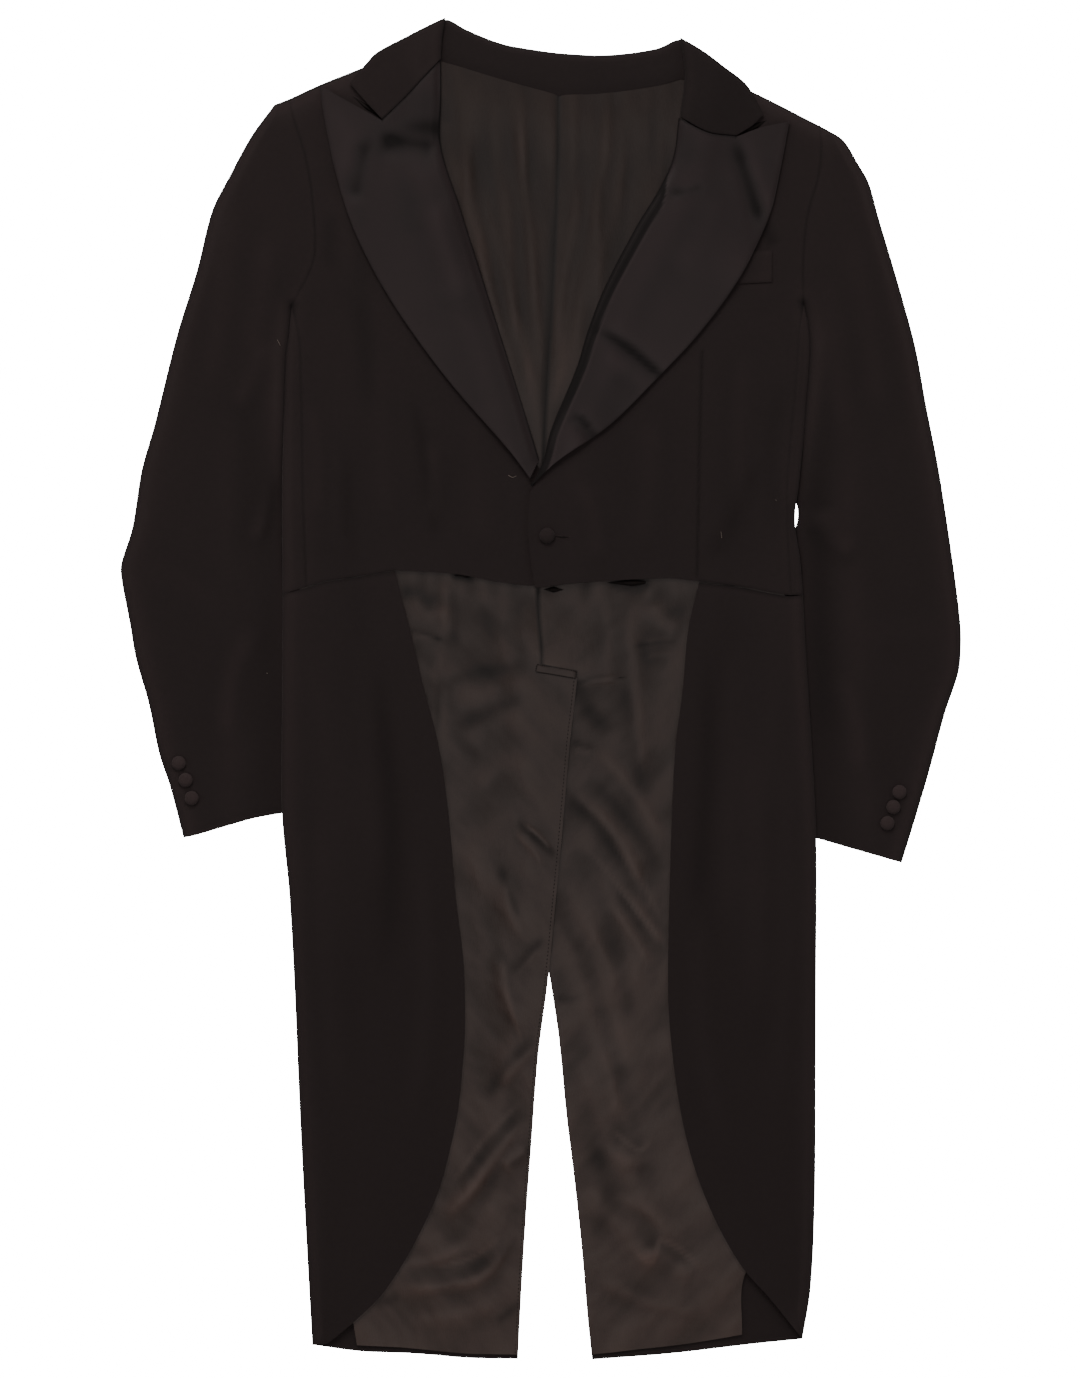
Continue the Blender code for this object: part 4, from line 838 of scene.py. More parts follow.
def creases(panel_name, places, table=CREASES):
    """What the creases of a panel add at each place: height, or darkness."""
    height = np.zeros(places.shape[:-1])
    for half_width, rise, lean, points in table.get(panel_name, ()):
        gap, share, hand = along_line(drawn(points, CREASE_STEPS), places)
        width = half_width * (1 + LEAN * lean * hand)
        height += rise * np.exp(-((gap / width) ** 2)) * smooth(4 * share) * smooth(4 - 4 * share)
    return height


def crumpled(places, kind, turn=0.0):
    """An uneven surface. Its kind is the height and size of a wave, a seed and a stretch."""
    height, size, seed, stretch = kind
    flat = places.reshape(-1, 2) @ spin(turn)
    waves = [noise.noise(Vector((x / size, y / size / stretch, seed))) for x, y in flat]
    return height * np.array(waves).reshape(places.shape[:-1])


print(sum(map(len, CREASES.values())), "creases")

# %% [markdown]
# Heights
#
# Laid flat, the coat is only two or three layers of cloth high, but which layer lies on which is what one
# sees. These functions give the height of each layer: the body lies over the sleeves and over the collar's
# fall, the left front over the right, the right tail over the left one at the vent, and every folded edge is
# round.

# %% Walls and layers
# Walls of cloth
CLOTH = 1.3
LINING = 0.7
LAPEL = 1.6
# Whole layers, pressed flat
EDGE_THICKNESS = 3.4
BODY_THICKNESS = 5.6
SKIRT_THICKNESS = 5.3
SLEEVE_THICKNESS = 6.8
CHEST_FULLNESS = 1.4
LINING_TOP = 3.12
# How far in from a folded edge the cloth is level. A lift is full up to an inset, and fades over a slope
FOLD_REACH = 9.5
LIFT_SLOPE = 60.0
SEAM_INSET = 6.0
FALL_INSET = 16.0
WAIST = 100.0
# How far one layer lifts the next
BODY_OVER_SLEEVE = 3.8
TAIL_OVER_TAIL = 3.57
BACK_OVER_FALL = 2.0
FRONT_OVER_FRONT = 2.2
SLEEVE_EASE = 45.0
SLEEVE_INSET = 4.0
# The sleeve's lift of the body's side sets in between the first levels, and fades between the second
TUCK_TOP = (150.0, 260.0)
TUCK_FOOT = {"right": (-135.0, -275.0), "left": (-158.0, -300.0)}
# The chest's fullness: level of its middle, half width, half length
CHEST = (330.0, 55.0, 110.0)
CHEST_X = {"right": -125.0, "left": 130.0}
# A seam's half width and depth
SEAM_DIP = (1.3, 0.25)
# How high the lining may rise under the fronts, and more for each millimetre out
PRESSED = (0.7, 0.5)
# The foot of the neck opening, and the level of the fronts' hem
NECK_FOOT, FRONT_HEM = 150, 99
FOLD_HEIGHT = 0.75
FOLD_TURN = {"right": -0.75, "left": 0.7}
TAIL_WAIST = 84.0
VENT_TOP = 21.5
# The vent's lift: its slope below the waist, the left tail's outer end, foot and slope, then the right one's
VENT_SLOPE = 58
LEFT_VENT = (66, 2, 17)
RIGHT_VENT = (2, 420, 158)
# A sleeve's folds fade where it goes under the body: the end and the slope, out from the body's side
SLEEVE_FADE = (22, 18)
# Unevenness. Columns: height, size of a wave, seed, stretch
TAIL_FOLDS = (0.8, 24, 1.3, 3.2)
TAIL_CRINKLES = (0.16, 7, 5.1, 2.0)
TAIL_WAVES = (0.5, 34, 9.4, 1.0)
NECK_FOLDS = (0.7, 11, 2.2, 7.0)
WOOL_WAVES = (0.10, 46, 3.7, 1.0)
SLEEVE_WAVES = (0.12, 40, 8.2, 1.0)
LAPEL_WAVES = (0.12, 30, 6.6, 1.0)
# Levels from which the tails' folds begin, and the slope to them
TAIL_START = (88, 20)
# The left front over the right one: outer end and slope in x, then top and slope in y
OVERLAP_X, OVERLAP_Y = (72, 50), (260, 55)
print("layers", EDGE_THICKNESS, BODY_THICKNESS, SLEEVE_THICKNESS)


# %% Height of each layer
def rounding(gap, reach=FOLD_REACH):
    """From 0 at a folded edge to 1 where the cloth is level again, as a quarter of an ellipse."""
    share = 1 - np.clip(gap / reach, 0, 1)
    return np.sqrt(1 - share * share)


def edge_gap(side, kind, places):
    return np.minimum.reduce([distance(line, places) for line in OUTLINES[side][kind]])


def tuck_reach(side, y):
    """1 where the sleeve lies under the body's side, 0 well above and below it."""
    foot, end = TUCK_FOOT[side]
    return smooth((TUCK_TOP[1] - y) / (TUCK_TOP[1] - TUCK_TOP[0])) * smooth((y - end) / (foot - end))


def outwards(side, x, inner_x):
    return inner_x - x if side == "right" else x - inner_x


def body_lift(side, places):
    heights, right, left = zip(*reversed(SLEEVE_TUCK))
    x, y = places[..., 0], places[..., 1]
    inside = -outwards(side, x, np.interp(y, heights, right if side == "right" else left))
    lift = BODY_OVER_SLEEVE * smooth(1 - (inside - SEAM_INSET) / LIFT_SLOPE) * tuck_reach(side, y)
    return lift + BACK_OVER_FALL * smooth(1 - (distance(NECK_SEAM, places) - FALL_INSET) / LIFT_SLOPE)


def vent_lift(side, places):
    """The right tail lies over the left one below the vent's top, and draws the left one up with it above."""
    x, y = places[..., 0], places[..., 1]
    above = TAIL_OVER_TAIL * smooth((TAIL_WAIST - y) / VENT_SLOPE)
    if side == "left":
        end, foot, slope = LEFT_VENT
        return above * smooth((end - x) / LIFT_SLOPE) * smooth((y - foot) / slope)
    end, foot, slope = RIGHT_VENT
    return above * smooth((x + LIFT_SLOPE + end) / LIFT_SLOPE) * smooth((y + foot) / slope)


def seam_dip(seams, places):
    """A sewn seam draws the cloth down a little on both sides of it."""
    half_width, depth = SEAM_DIP
    near = [np.exp(-((distance(line, places) / half_width) ** 2)) for line, _ in seams]
    return -depth * np.maximum.reduce(near) if near else np.zeros(places.shape[:-1])


def seam_shade(seams, places):
    """Painted shade where the cloth is drawn into a seam. A seam comes with its darkness."""
    near = [dark * np.exp(-((distance(line, places) / SEAM_DIP[0]) ** 2)) for line, dark in seams]
    return np.maximum.reduce(near)


def front_top(side, places, seams=(), edged=True):
    """Top of the forepart, side body and skirt, round at a folded edge."""
    x, y = places[..., 0], places[..., 1]
    chest_y, half_width, half_length = CHEST
    full = np.exp(-(((x - CHEST_X[side]) / half_width) ** 2) - ((y - chest_y) / half_length) ** 2)
    thickness = BODY_THICKNESS - (BODY_THICKNESS - SKIRT_THICKNESS) * smooth((WAIST - y) / WAIST)
    thickness += CHEST_FULLNESS * full
    middle = EDGE_THICKNESS / 2
    level = rounding(edge_gap(side, "body", places)) if edged else np.ones(places.shape[:-1])
    height = body_lift(side, places) + middle + (thickness - middle) * level
    if side == "left":
        over = smooth((OVERLAP_X[0] - x) / OVERLAP_X[1])
        height += FRONT_OVER_FRONT * over * smooth((OVERLAP_Y[0] - y) / OVERLAP_Y[1])
    height += crumpled(places, WOOL_WAVES) * level
    return height + (creases(side + " front", places) + seam_dip(seams, places)) * level


def back_under(side, places):
    """The underside of the back."""
    return body_lift(side, places) + vent_lift(side, places)


def room_above(side, places):
    """How high the lining may rise: little under the fronts and more with each millimetre out from them."""
    y = places[..., 1]
    free = np.zeros(places.shape[:-1])
    for name, here in (("roll", y > NECK_FOOT), ("cutaway", y <= NECK_FOOT)):
        gap, _, hand = along_line(CURVES[side][name], places)
        free = np.where(here, gap * hand * (1 if side == "left" else -1), free)
    below_hem = distance(CURVES[side]["front hem"], places) * np.where(y < FRONT_HEM, 1, -1)
    free = np.where(y < NECK_FOOT, np.minimum(free, below_hem), free)
    return PRESSED[0] + PRESSED[1] * np.maximum(free, 0)


def lining_top(side, places):
    """Top of the lining, with its folds, which grow finer down the tails."""
    fine = smooth((TAIL_START[0] - places[..., 1]) / TAIL_START[1])
    rise = FOLD_HEIGHT * creases(side + " lining", places)
    turn = FOLD_TURN[side] * smooth((20 - places[..., 1].mean()) / 60)
    rise += fine * (crumpled(places, TAIL_FOLDS, turn) + crumpled(places, TAIL_CRINKLES, turn))
    rise += fine * crumpled(places, TAIL_WAVES)
    rise += (1 - fine) * crumpled(places, NECK_FOLDS)
    return LINING_TOP + back_under(side, places) + np.minimum(rise, room_above(side, places))


def sleeve_top(side, places, seams=()):
    """Full in the middle, as thick as the body at the armhole, and flat where it lies under the body."""
    x, y = places[..., 0], places[..., 1]
    from_armhole = distance(CURVES[side]["armhole"], places)
    full = BODY_THICKNESS + (SLEEVE_THICKNESS - BODY_THICKNESS) * smooth(from_armhole / SLEEVE_EASE)
    line = np.vstack([CURVES[side]["side"], CURVES[side]["tail side"]])
    outside = outwards(side, x, np.interp(-y, -line[:, 1], line[:, 0]))
    tucked = EDGE_THICKNESS + (full - EDGE_THICKNESS) * smooth((outside - SLEEVE_INSET) / SLEEVE_EASE)
    reach = tuck_reach(side, y)
    middle = EDGE_THICKNESS / 2
    level = rounding(edge_gap(side, "sleeve", places))
    under = reach * smooth((SLEEVE_FADE[0] - outside) / SLEEVE_FADE[1])
    folds = creases(side + " sleeve", places) * smooth(1 - under)
    height = middle + (full + (tucked - full) * reach - middle) * level
    return height + (folds + seam_dip(seams, places) + crumpled(places, SLEEVE_WAVES)) * level


print("the lining lies at", LINING_TOP, "mm")

# %% [markdown]
# A panel of cloth
#
# A panel is a grid between two edges, with the bow of its top and bottom edges blended in. The grid comes
# from bmesh, each of its points is laid at its place, and Solidify gives it the wall of the cloth. The flat
# places, turned to the cloth's own grain, become the UV map that the weave follows.


# %% Grids between two edges
def rail(side, *stretches):
    """Places down a panel's edge. Each stretch is a line's name with the shares of it that the rows take."""
    found = []
    for name, shares in stretches:
        points = at(CURVES[side][name], shares)
        found.extend(points if not found else points[1:])
    return np.array(found)


def matching(side, name, master):
    """Places down a line at the same shares of its length as the rows of another edge."""
    run = lengths(master)
    return at(CURVES[side][name], run / run[-1])


def edge_columns(count, first=(), last=()):
    """Shares across a panel, with given steps in from its edges, in millimetres."""

    def shares(width):
        shrink = min(1.0, 0.4 * width / FOLD_REACH)
        start = [0.0, *(step * shrink / width for step in first)]
        end = [*(1 - step * shrink / width for step in reversed(last)), 1.0]
        return np.array([*start, *np.linspace(start[-1], end[0], count + 1)[1:-1], *end])

    return shares


def panel(first, last, across_for, top=None, bottom=None):
    """Sections from one edge to the other. The bow of the top and bottom edges fades towards the middle."""
    share = lengths(first) / lengths(first)[-1]
    rows = []
    for start, end, down in zip(first, last, share):
        across = across_for(max(np.linalg.norm(end - start), 1.0))
        section = start + across[:, None] * (end - start)
        for edge, fade in ((top, (1 - down) ** 2), (bottom, down**2)):
            if edge is not None:
                line = edge(across) if callable(edge) else at(edge, across)
                section = section + fade * (line - line[0] - across[:, None] * (line[-1] - line[0]))
        rows.append(section)
    return np.array(rows)


def cornered(lines, breaks):
    """An edge with corners: each line takes the columns between two breaks."""

    def edge(shares):
        found = at(lines[0], np.zeros(len(shares)))
        for line, start, end in zip(lines, breaks, breaks[1:]):
            part = at(line, np.clip((shares - start) / (end - start), 0, 1))
            found = np.where((shares > start)[:, None], part, found)
        return found

    return edge


def raised(grid, height):
    return np.concatenate([grid, height[..., None]], axis=-1)


print("grid helpers ready")

# %% Cloth from a grid of places
SHEETS = {}
# No sheet's size is put down as narrower than this, in metres
SMALLEST_CUT = 0.0105
# Painted shade in hollows: steps of smoothing around a point, and the depth below it that gives full shade
HOLLOW_REACH = 24
HOLLOW_DEPTH = 1.0


def put_in_scene(name, shape, finish, node=None):
    """Makes the piece's object, puts it on the coat's body, and hides the solid that it stands for."""
    for face in shape.faces:
        face.smooth = True
    for edge in shape.edges:
        edge.smooth = not edge.is_boundary
    mesh = bpy.data.meshes.new(name)
    shape.to_mesh(mesh)
    shape.free()
    mesh.materials.append(finish)
    piece = bpy.data.objects.new(name, mesh)
    bpy.context.scene.collection.objects.link(piece)
    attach(piece, "root")
    if node:
        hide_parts(node)
    return piece


def hollows(height):
    """How deep each place lies below the cloth around it, in parts of a set depth."""
    soft = np.pad(height, HOLLOW_REACH, mode="edge")
    for _ in range(HOLLOW_REACH):
        soft[1:-1] = (soft[:-2] + 2 * soft[1:-1] + soft[2:]) / 4
        soft[:, 1:-1] = (soft[:, :-2] + 2 * soft[:, 1:-1] + soft[:, 2:]) / 4
    inside = slice(HOLLOW_REACH, -HOLLOW_REACH)
    return (soft[inside, inside] - height) / HOLLOW_DEPTH


def cloth(node, points, wall, finish, outside=1, grain_angle=0.0, fold=None, shade=0.0):
    """A panel of cloth from its outer face. Outside is 1 for a face that looks up at its first column."""
    # Painted shade: darker in hollows, lighter on crests, with the shaded places and seams added
    hollow = np.clip(hollows(points[..., 2]) + shade, -1, 1)
    rows, count = points.shape[:2]
    flat = points[..., :2].copy()
    if fold is not None:
        flat[:, fold:, 0] = 2 * flat[:, fold : fold + 1, 0] - flat[:, fold:, 0]
    threads = flat @ spin(math.radians(grain_angle)).T * MM
    shape = bmesh.new()
    bmesh.ops.create_grid(shape, x_segments=count - 1, y_segments=rows - 1, size=0.5)
    # Each point keeps its painted shade, which the materials read
    depth = shape.verts.layers.float.new("hollow")
    place = {}
    for vert in shape.verts:
        place[vert] = (round((vert.co.y + 0.5) * (rows - 1)), round((vert.co.x + 0.5) * (count - 1)))
    layer = shape.loops.layers.uv.new("grain")
    for face in shape.faces:
        for corner in face.loops:
            corner[layer].uv = threads[place[corner.vert]]
    for vert, (row, column) in place.items():
        vert.co = points[row, column] * MM
        vert[depth] = hollow[row, column]
    shape.normal_update()
    first = [face for face in shape.faces if any(place[vert][1] == 0 for vert in face.verts)]
    if sum(face.normal.z * face.calc_area() for face in first) * outside < 0:
        bmesh.ops.reverse_faces(shape, faces=shape.faces)
    area = sum(face.calc_area() for face in shape.faces)
    piece = put_in_scene(node + "_cloth", shape, finish, node)
    thickness = piece.modifiers.new("Wall", "SOLIDIFY")
    thickness.thickness = wall * MM
    thickness.offset = -1.0
    across = max(lengths(row)[-1] for row in points) * MM
    down = max(lengths(points[:, column])[-1] for column in range(count)) * MM
    SHEETS[piece] = (across, max(down, area / across, SMALLEST_CUT), area)
    return piece


print("cloth ready")

# %% [markdown]
# The back
#
# Two halves run from the neck to the tails' hems in one, joined down the centre. Below the waist they part in
# a vent. Here the back shows only as a narrow edge beyond the lining, and as the flat underside.

# %% Back
NECK_STEP = (0.4, 0.45)
BACK_ROWS = np.concatenate([np.linspace(68, 26, 8), [VENT_TOP, 20.5], np.linspace(14, -560, 84)])
# Share of the armhole that the back runs down, and of the hem that belongs to the skirt
BACK_ARMHOLE = 0.825
HEM_SHARE = 0.6


def at_heights(line, heights):
    """Places of a line that runs down the coat, at the given heights."""
    return np.stack([np.interp(-np.array(heights), -line[:, 1], line[:, 0]), heights], axis=-1)


def centre_edge(side, outer):
    """The centre seam down to the vent, then the tail's own edge, level with the outer edge's sections."""
    seam, vent = CURVES[side]["centre"], CURVES[side]["vent edge"]
    neck = seam[0, 1]
    stretch = (neck - TAIL_WAIST) / (outer[0, 1] - TAIL_WAIST)
    inner = []
    for _, y in outer:
        level = TAIL_WAIST + (y - TAIL_WAIST) * stretch if y > TAIL_WAIST else y
        line = seam if y >= VENT_TOP else vent
        inner.append(at_heights(line, [np.clip(level, line[-1, 1], line[0, 1])])[0])
    inner[-1] = vent[-1]
    return np.array(inner)


def back(side):
    upper = rail(side, ("armhole", even(40) * BACK_ARMHOLE), ("side body seam", even(30)))
    pleat = CURVES[side]["pleat seam"]
    outer = np.vstack([upper, at_heights(pleat, BACK_ROWS), pleat[-1:]])
    shoulder, neck = CURVES[side]["shoulder"][::-1], CURVES[side]["neck"]
    top = cornered((shoulder, np.array([shoulder[-1], neck[0]]), neck), (0.0, *NECK_STEP, 1.0))
    hem = at(CURVES[side]["hem"], HEM_SHARE + even(20) * (1 - HEM_SHARE))
    shares = np.unique(np.concatenate([even(20), NECK_STEP]))
    grid = panel(outer, centre_edge(side, outer), lambda width: shares, top=top, bottom=hem)
    points = raised(grid, back_under(side, grid))
    return cloth("back_" + side, points, CLOTH, WOOL_CLOTH, outside=-1)


for side in LINES:
    back(side)
print("back halves", [tuple(round(v / MM) for v in SHEETS[piece][:2]) for piece in SHEETS])

# %% [markdown]
# The lining
#
# The lining is cut like the back but a little wider and longer, so it never strains the cloth. What is too
# much lies in folds. It shows in the open neck and over both tails, and stops a few millimetres short of the
# hems.

# %% Lining
NECK_ROWS = np.linspace(476, 78, 110)
TAIL_ROWS = np.concatenate([np.linspace(74, 24, 18), [VENT_TOP, 20.5], np.linspace(16, -546, 190)])
LINING_COLUMNS = 72
EXTENSION_COLUMNS = 20
EXTENSION_STRIP = 0.4


def lining(side):
    line = CURVES[side]["lining side"]
    heights = [*(y for y in NECK_ROWS if y < line[0, 1] - 4), *TAIL_ROWS]
    outer = np.vstack([line[:1], at_heights(line, heights), line[-1:]])
    inner = centre_edge(side, outer)
    hem = CURVES[side]["lining hem"]
    inner[-1] = hem[-1]
    top = cornered((CURVES[side]["lining shoulder"], CURVES[side]["neck"]), (0.0, 0.5, 1.0))
    # The last columns are the vent's extension, drawn together to a narrow strip above it
    first_row = next(row for row, place in enumerate(inner) if place[1] < VENT_TOP)
    step = inner[first_row - 1, 0] - inner[first_row, 0]
    kept = 1 - abs(step) / np.linalg.norm(inner[first_row] - outer[first_row])
    rows = iter(range(len(inner)))

    def across(width):
        main = kept if next(rows) >= first_row else 1 - EXTENSION_STRIP / width
        extension = np.linspace(main, 1, EXTENSION_COLUMNS)[1:]
        return np.concatenate([np.linspace(0, main, LINING_COLUMNS), extension])

    grid = panel(outer, inner, across, top=top, bottom=hem)
    height = lining_top(side, grid)
    seam = CURVES[side]["centre"]
    height += seam_dip([(seam, 1)], grid) * smooth((grid[..., 1] - VENT_TOP) / 20)
    # Painted shade and painted highlights of the folds, and painted shade along the centre seam
    shade = creases(side + " lining", grid, SHADES) + seam_shade([(seam, 1.0)], grid)
    return cloth("lining_" + side, raised(grid, height), LINING, SATEEN_LINING, shade=shade)


for side in LINES:
    lining(side)
print("lining halves made")

# %% [markdown]
# The foreparts
#
# Each forepart runs from the shoulder to the pointed waist. On the left one a dart down from the chest shows
# as a fine drawn-in line. The seams to the side body and to the skirt dip a little where they are sewn, and
# painted shade darkens the dart and the seams.

# %% Foreparts
DART = drawn(((136.9, 288), (134.5, 200), (132.6, 96)))
# How much painted shade each seam gets, where it is drawn in
ARMHOLE_DARK, DART_DARK, GORGE_DARK = 0.45, 0.65, 0.8
SIDE_SEAM_DARK = {"right": 0.35, "left": 0.15}
WAIST_DARK = {"right": 0.5, "left": 0.9}
EDGE_STEPS = (0.35, 0.9, 1.8, 3.2, 5.0, 7.2, 9.5)
FOREPART_COLUMNS = 120


def waist_start(side):
    """Where the side seam meets the waist seam."""
    seam = CURVES[side]["side seam"][-1]
    return int(np.argmin(np.linalg.norm(CURVES[side]["waist"] - seam, axis=1)))


def forepart(side):
    outer = rail(side, ("armhole", even(60)), ("side seam", even(80)))
    bottom = np.vstack([waist_part(side), CURVES[side]["front hem"]])
    top = CURVES[side]["shoulder"][::-1]
    across = edge_columns(FOREPART_COLUMNS, EDGE_STEPS[:3], EDGE_STEPS[:3])
    grid = panel(outer, matching(side, "front edge", outer), across, top=top, bottom=bottom)
    seams = [(CURVES[side]["armhole"], ARMHOLE_DARK), (CURVES[side]["side seam"], SIDE_SEAM_DARK[side])]
    seams += [(waist_part(side), WAIST_DARK[side]), (DART, DART_DARK)]
    points = raised(grid, front_top(side, grid, seams))
    # Painted shade in the shaded places and along the seams
    shade = creases(side + " front", grid, SHADES) + seam_shade(seams, grid)
    return cloth("forepart_" + side, points, CLOTH, WOOL_CLOTH, shade=shade)


def waist_part(side):
    return CURVES[side]["waist"][waist_start(side) :]


for side in LINES:
    forepart(side)
print("foreparts made")

# %% [markdown]
# Side bodies and skirts
#
# At the coat's sides and down the tails the cloth folds round and under, so these panels are modelled in one:
# from their front edge out to the fold, round it as half a tube, and back underneath to the seam in the back.

# %% Side bodies and skirts
TURN_STEPS = (0.25, 0.7, 1.4, 2.5, 4.5)
# Steps in from a seam at the front edge
SEAM_STEPS = (0.6, 1.4, 2.6)
# Columns above and below the fold
SIDE_BODY_COLUMNS, SKIRT_COLUMNS = (8, 14), (42, 20)


def turned_under(node, side, front, fold, under, counts, seams, top=None, bottom=None, under_bottom=None):
    """A panel from its front edge out to the fold and back underneath. Counts: columns above and below."""
    above = panel(front, fold, edge_columns(counts[0], SEAM_STEPS, EDGE_STEPS), top=top, bottom=bottom)
    below = panel(fold, under, edge_columns(counts[1], TURN_STEPS), bottom=under_bottom)
    turn = above.shape[1] - 1
    lower = back_under(side, below)
    gap = np.linalg.norm(below - below[:, :1], axis=-1)
    lower += EDGE_THICKNESS / 2 * (1 - rounding(gap, TURN_STEPS[3]))
    heights = np.concatenate([front_top(side, above, seams)[:, :turn], lower], axis=1)
    flat = np.concatenate([above[:, :turn], below], axis=1)
    # Painted shade in the shaded places and along the seams, on the upper face only
    shade = creases(side + " front", above, SHADES) + seam_shade(seams, above)
    shade = np.concatenate([shade[:, :turn], 0 * lower], axis=1)
    return cloth(node, raised(flat, heights), CLOTH, WOOL_CLOTH, fold=turn, shade=shade)


def side_body(side):
    lines = [CURVES[side][name] for name in ("side seam", "side", "side body seam")]
    front, fold, under = (at(line, even(90)) for line in lines)
    seams = [(CURVES[side]["side seam"], SIDE_SEAM_DARK[side]), (CURVES[side]["armhole"], ARMHOLE_DARK)]
    seams += [(CURVES[side]["waist"], WAIST_DARK[side])]
    waist = CURVES[side]["waist"][: waist_start(side) + 1][::-1]
    return turned_under("side_body_" + side, side, front, fold, under, SIDE_BODY_COLUMNS, seams, bottom=waist)


def skirt(side):
    front = rail(side, ("cutaway", even(170)))
    fold, under = (matching(side, name, front) for name in ("tail side", "pleat seam"))
    waist = CURVES[side]["waist"][::-1]
    hem = at(CURVES[side]["hem"], even(20) * HEM_SHARE)
    seams = [(CURVES[side]["waist"], WAIST_DARK[side])]
    edges = {"top": waist, "under_bottom": hem}
    return turned_under("skirt_" + side, side, front, fold, under, SKIRT_COLUMNS, seams, **edges)


for side in LINES:
    side_body(side)
    skirt(side)
print("side bodies and skirts made")

# %% [markdown]
# The sleeves
#
# A sleeve is a tube of two panels, pressed flat. The top one rounds over at both edges and takes the folds;
# the under one is level on the table. At the cuff the tube is open, and its two layers lie close together.

# %% Sleeves
GRAIN_OF_SLEEVE = {"right": -14.0, "left": 12.0}
TOP_COLUMNS, UNDER_COLUMNS = 34, 12


def sleeve(side):
    inner = rail(side, ("armhole", even(60)), ("sleeve inner", even(150)))
    outer = matching(side, "sleeve outer", inner)
    cuff = CURVES[side]["cuff"]
    above = panel(outer, inner, edge_columns(TOP_COLUMNS, EDGE_STEPS, EDGE_STEPS), bottom=cuff)
    below = panel(outer, inner, edge_columns(UNDER_COLUMNS, TURN_STEPS, TURN_STEPS), bottom=cuff)
    edge = np.minimum(edge_gap(side, "sleeve", below), distance(CURVES[side]["armhole"], below))
    under = EDGE_THICKNESS / 2 * (1 - rounding(edge, TURN_STEPS[3]))
    angle = GRAIN_OF_SLEEVE[side]
    seams = [(CURVES[side]["armhole"], ARMHOLE_DARK)]
    top = raised(above, sleeve_top(side, above, seams))
    # Painted shade in the shaded places and along the armhole
    shade = creases(side + " sleeve", above, SHADES) + seam_shade(seams, above)
    cloth("top_sleeve_" + side, top, CLOTH, WOOL_CLOTH, grain_angle=angle, shade=shade)
    bottom = raised(below, under)
    cloth("under_sleeve_" + side, bottom, CLOTH, WOOL_CLOTH, outside=-1, grain_angle=angle)


for side in LINES:
    sleeve(side)
print("sleeves made")

# %% [markdown]
# Lapels and collar
#
# The lapels are the front's own edge turned back, with satin as their face. They roll at the inner edge down
# to the lining and stand a little off the chest at their outer edge, where they throw the darkest lines of
# the coat. The collar's two leaves meet them at the gorge seam and leave the notch open.

# %% Lapels
LAPEL_LAYER = 3.2
ROLL_REACH = 9.0
ROLL_DROP = 3.0
LAPEL_EDGE = (5.0, 0.5)
# The lapel's fullness: height, distance from the roll, half width. Then of the left one: height, middle, half
# sizes
ROLL_FULL = (1.3, 22, 15)
LEFT_FULL, LEFT_FULL_AT, LEFT_FULL_HALF = 1.6, (172, 360), (26, 30)
# The strip along the left roll, in painted shade: width, darkness, the painted highlight beside it, and the
# share of the roll where it begins
ROLLED_STRIP = 12.0
STRIP_DARK = 1.0
STRIP_LIGHT = 0.5
STRIP_START = 0.12
# Painted shade along the fold of the roll
ROLL_DARK = 0.8
LAPEL_GRAIN = {"right": -18, "left": 18}


def lapel_top(side, places):
    curves = CURVES[side]
    roll = distance(curves["roll"], places)
    height = front_top(side, places, edged=False) + LAPEL_LAYER + creases(side + " lapel", places)
    full, inset, half_width = ROLL_FULL
    height += full * np.exp(-(((roll - inset) / half_width) ** 2))
    if side == "left":
        across, down = ((places[..., k] - LEFT_FULL_AT[k]) / LEFT_FULL_HALF[k] for k in range(2))
        height += LEFT_FULL * np.exp(-(across**2) - down**2)
    edge = distance(curves["lapel edge"], places)
    height -= LAPEL_EDGE[1] * (1 - rounding(edge, LAPEL_EDGE[0]))
    height += seam_dip([(curves["gorge"], 1)], places)
    height += crumpled(places, LAPEL_WAVES)
    return height - ROLL_DROP * (1 - rounding(roll, ROLL_REACH))


def lapel_shade(side, places):
    """Painted shade: the shaded places, the gorge seam and the fold of the roll, and on the left the strip
    that rolls down towards the lining, with a painted highlight beside it.
    """
    curves = CURVES[side]
    shade = creases(side + " lapel", places, SHADES) + seam_shade([(curves["gorge"], GORGE_DARK)], places)
    roll, down, _ = along_line(curves["roll"], places)
    if side == "left":
        width = ROLLED_STRIP * smooth(8 * (down - STRIP_START)) * (1 - 0.5 * down) + 0.01
        shade += STRIP_DARK * smooth((width - roll) / 1.4 + 0.5) * (down > STRIP_START)
        shade -= STRIP_LIGHT * np.exp(-(((roll - width - 1) / 1.0) ** 2)) * (down > 0.16)
    return shade + ROLL_DARK * np.exp(-((roll / 1.2) ** 2))


def lapel(side):
    outer = rail(side, ("lapel edge", even(110)))
    inner = matching(side, "roll", outer)
    top = cornered((CURVES[side]["lapel peak"], CURVES[side]["gorge"]), (0.0, 0.5, 1.0))
    shares = np.unique(np.concatenate([even(60), (0.004, 0.01, 0.945, 0.955, 0.965, 0.975, 0.985, 0.993)]))
    grid = panel(outer, inner, lambda width: shares, top=top)
    points = raised(grid, lapel_top(side, grid))
    angle, shade = LAPEL_GRAIN[side], lapel_shade(side, grid)
    return cloth("lapel_" + side, points, LAPEL, SATIN_FACING, grain_angle=angle, shade=shade)


for side in LINES:
    lapel(side)
print("lapels made")


# %% Collar leaves
# The leaf's fullness: height, distance from its inner edge, half width
LEAF_FULL = (0.8, 20, 12)
# The left leaf is in the darker copy of the wool, as painted shade
LEAF_FINISH = {"right": (WOOL_CLOTH, -45), "left": (WOOL_SHADED_COPY, 45)}


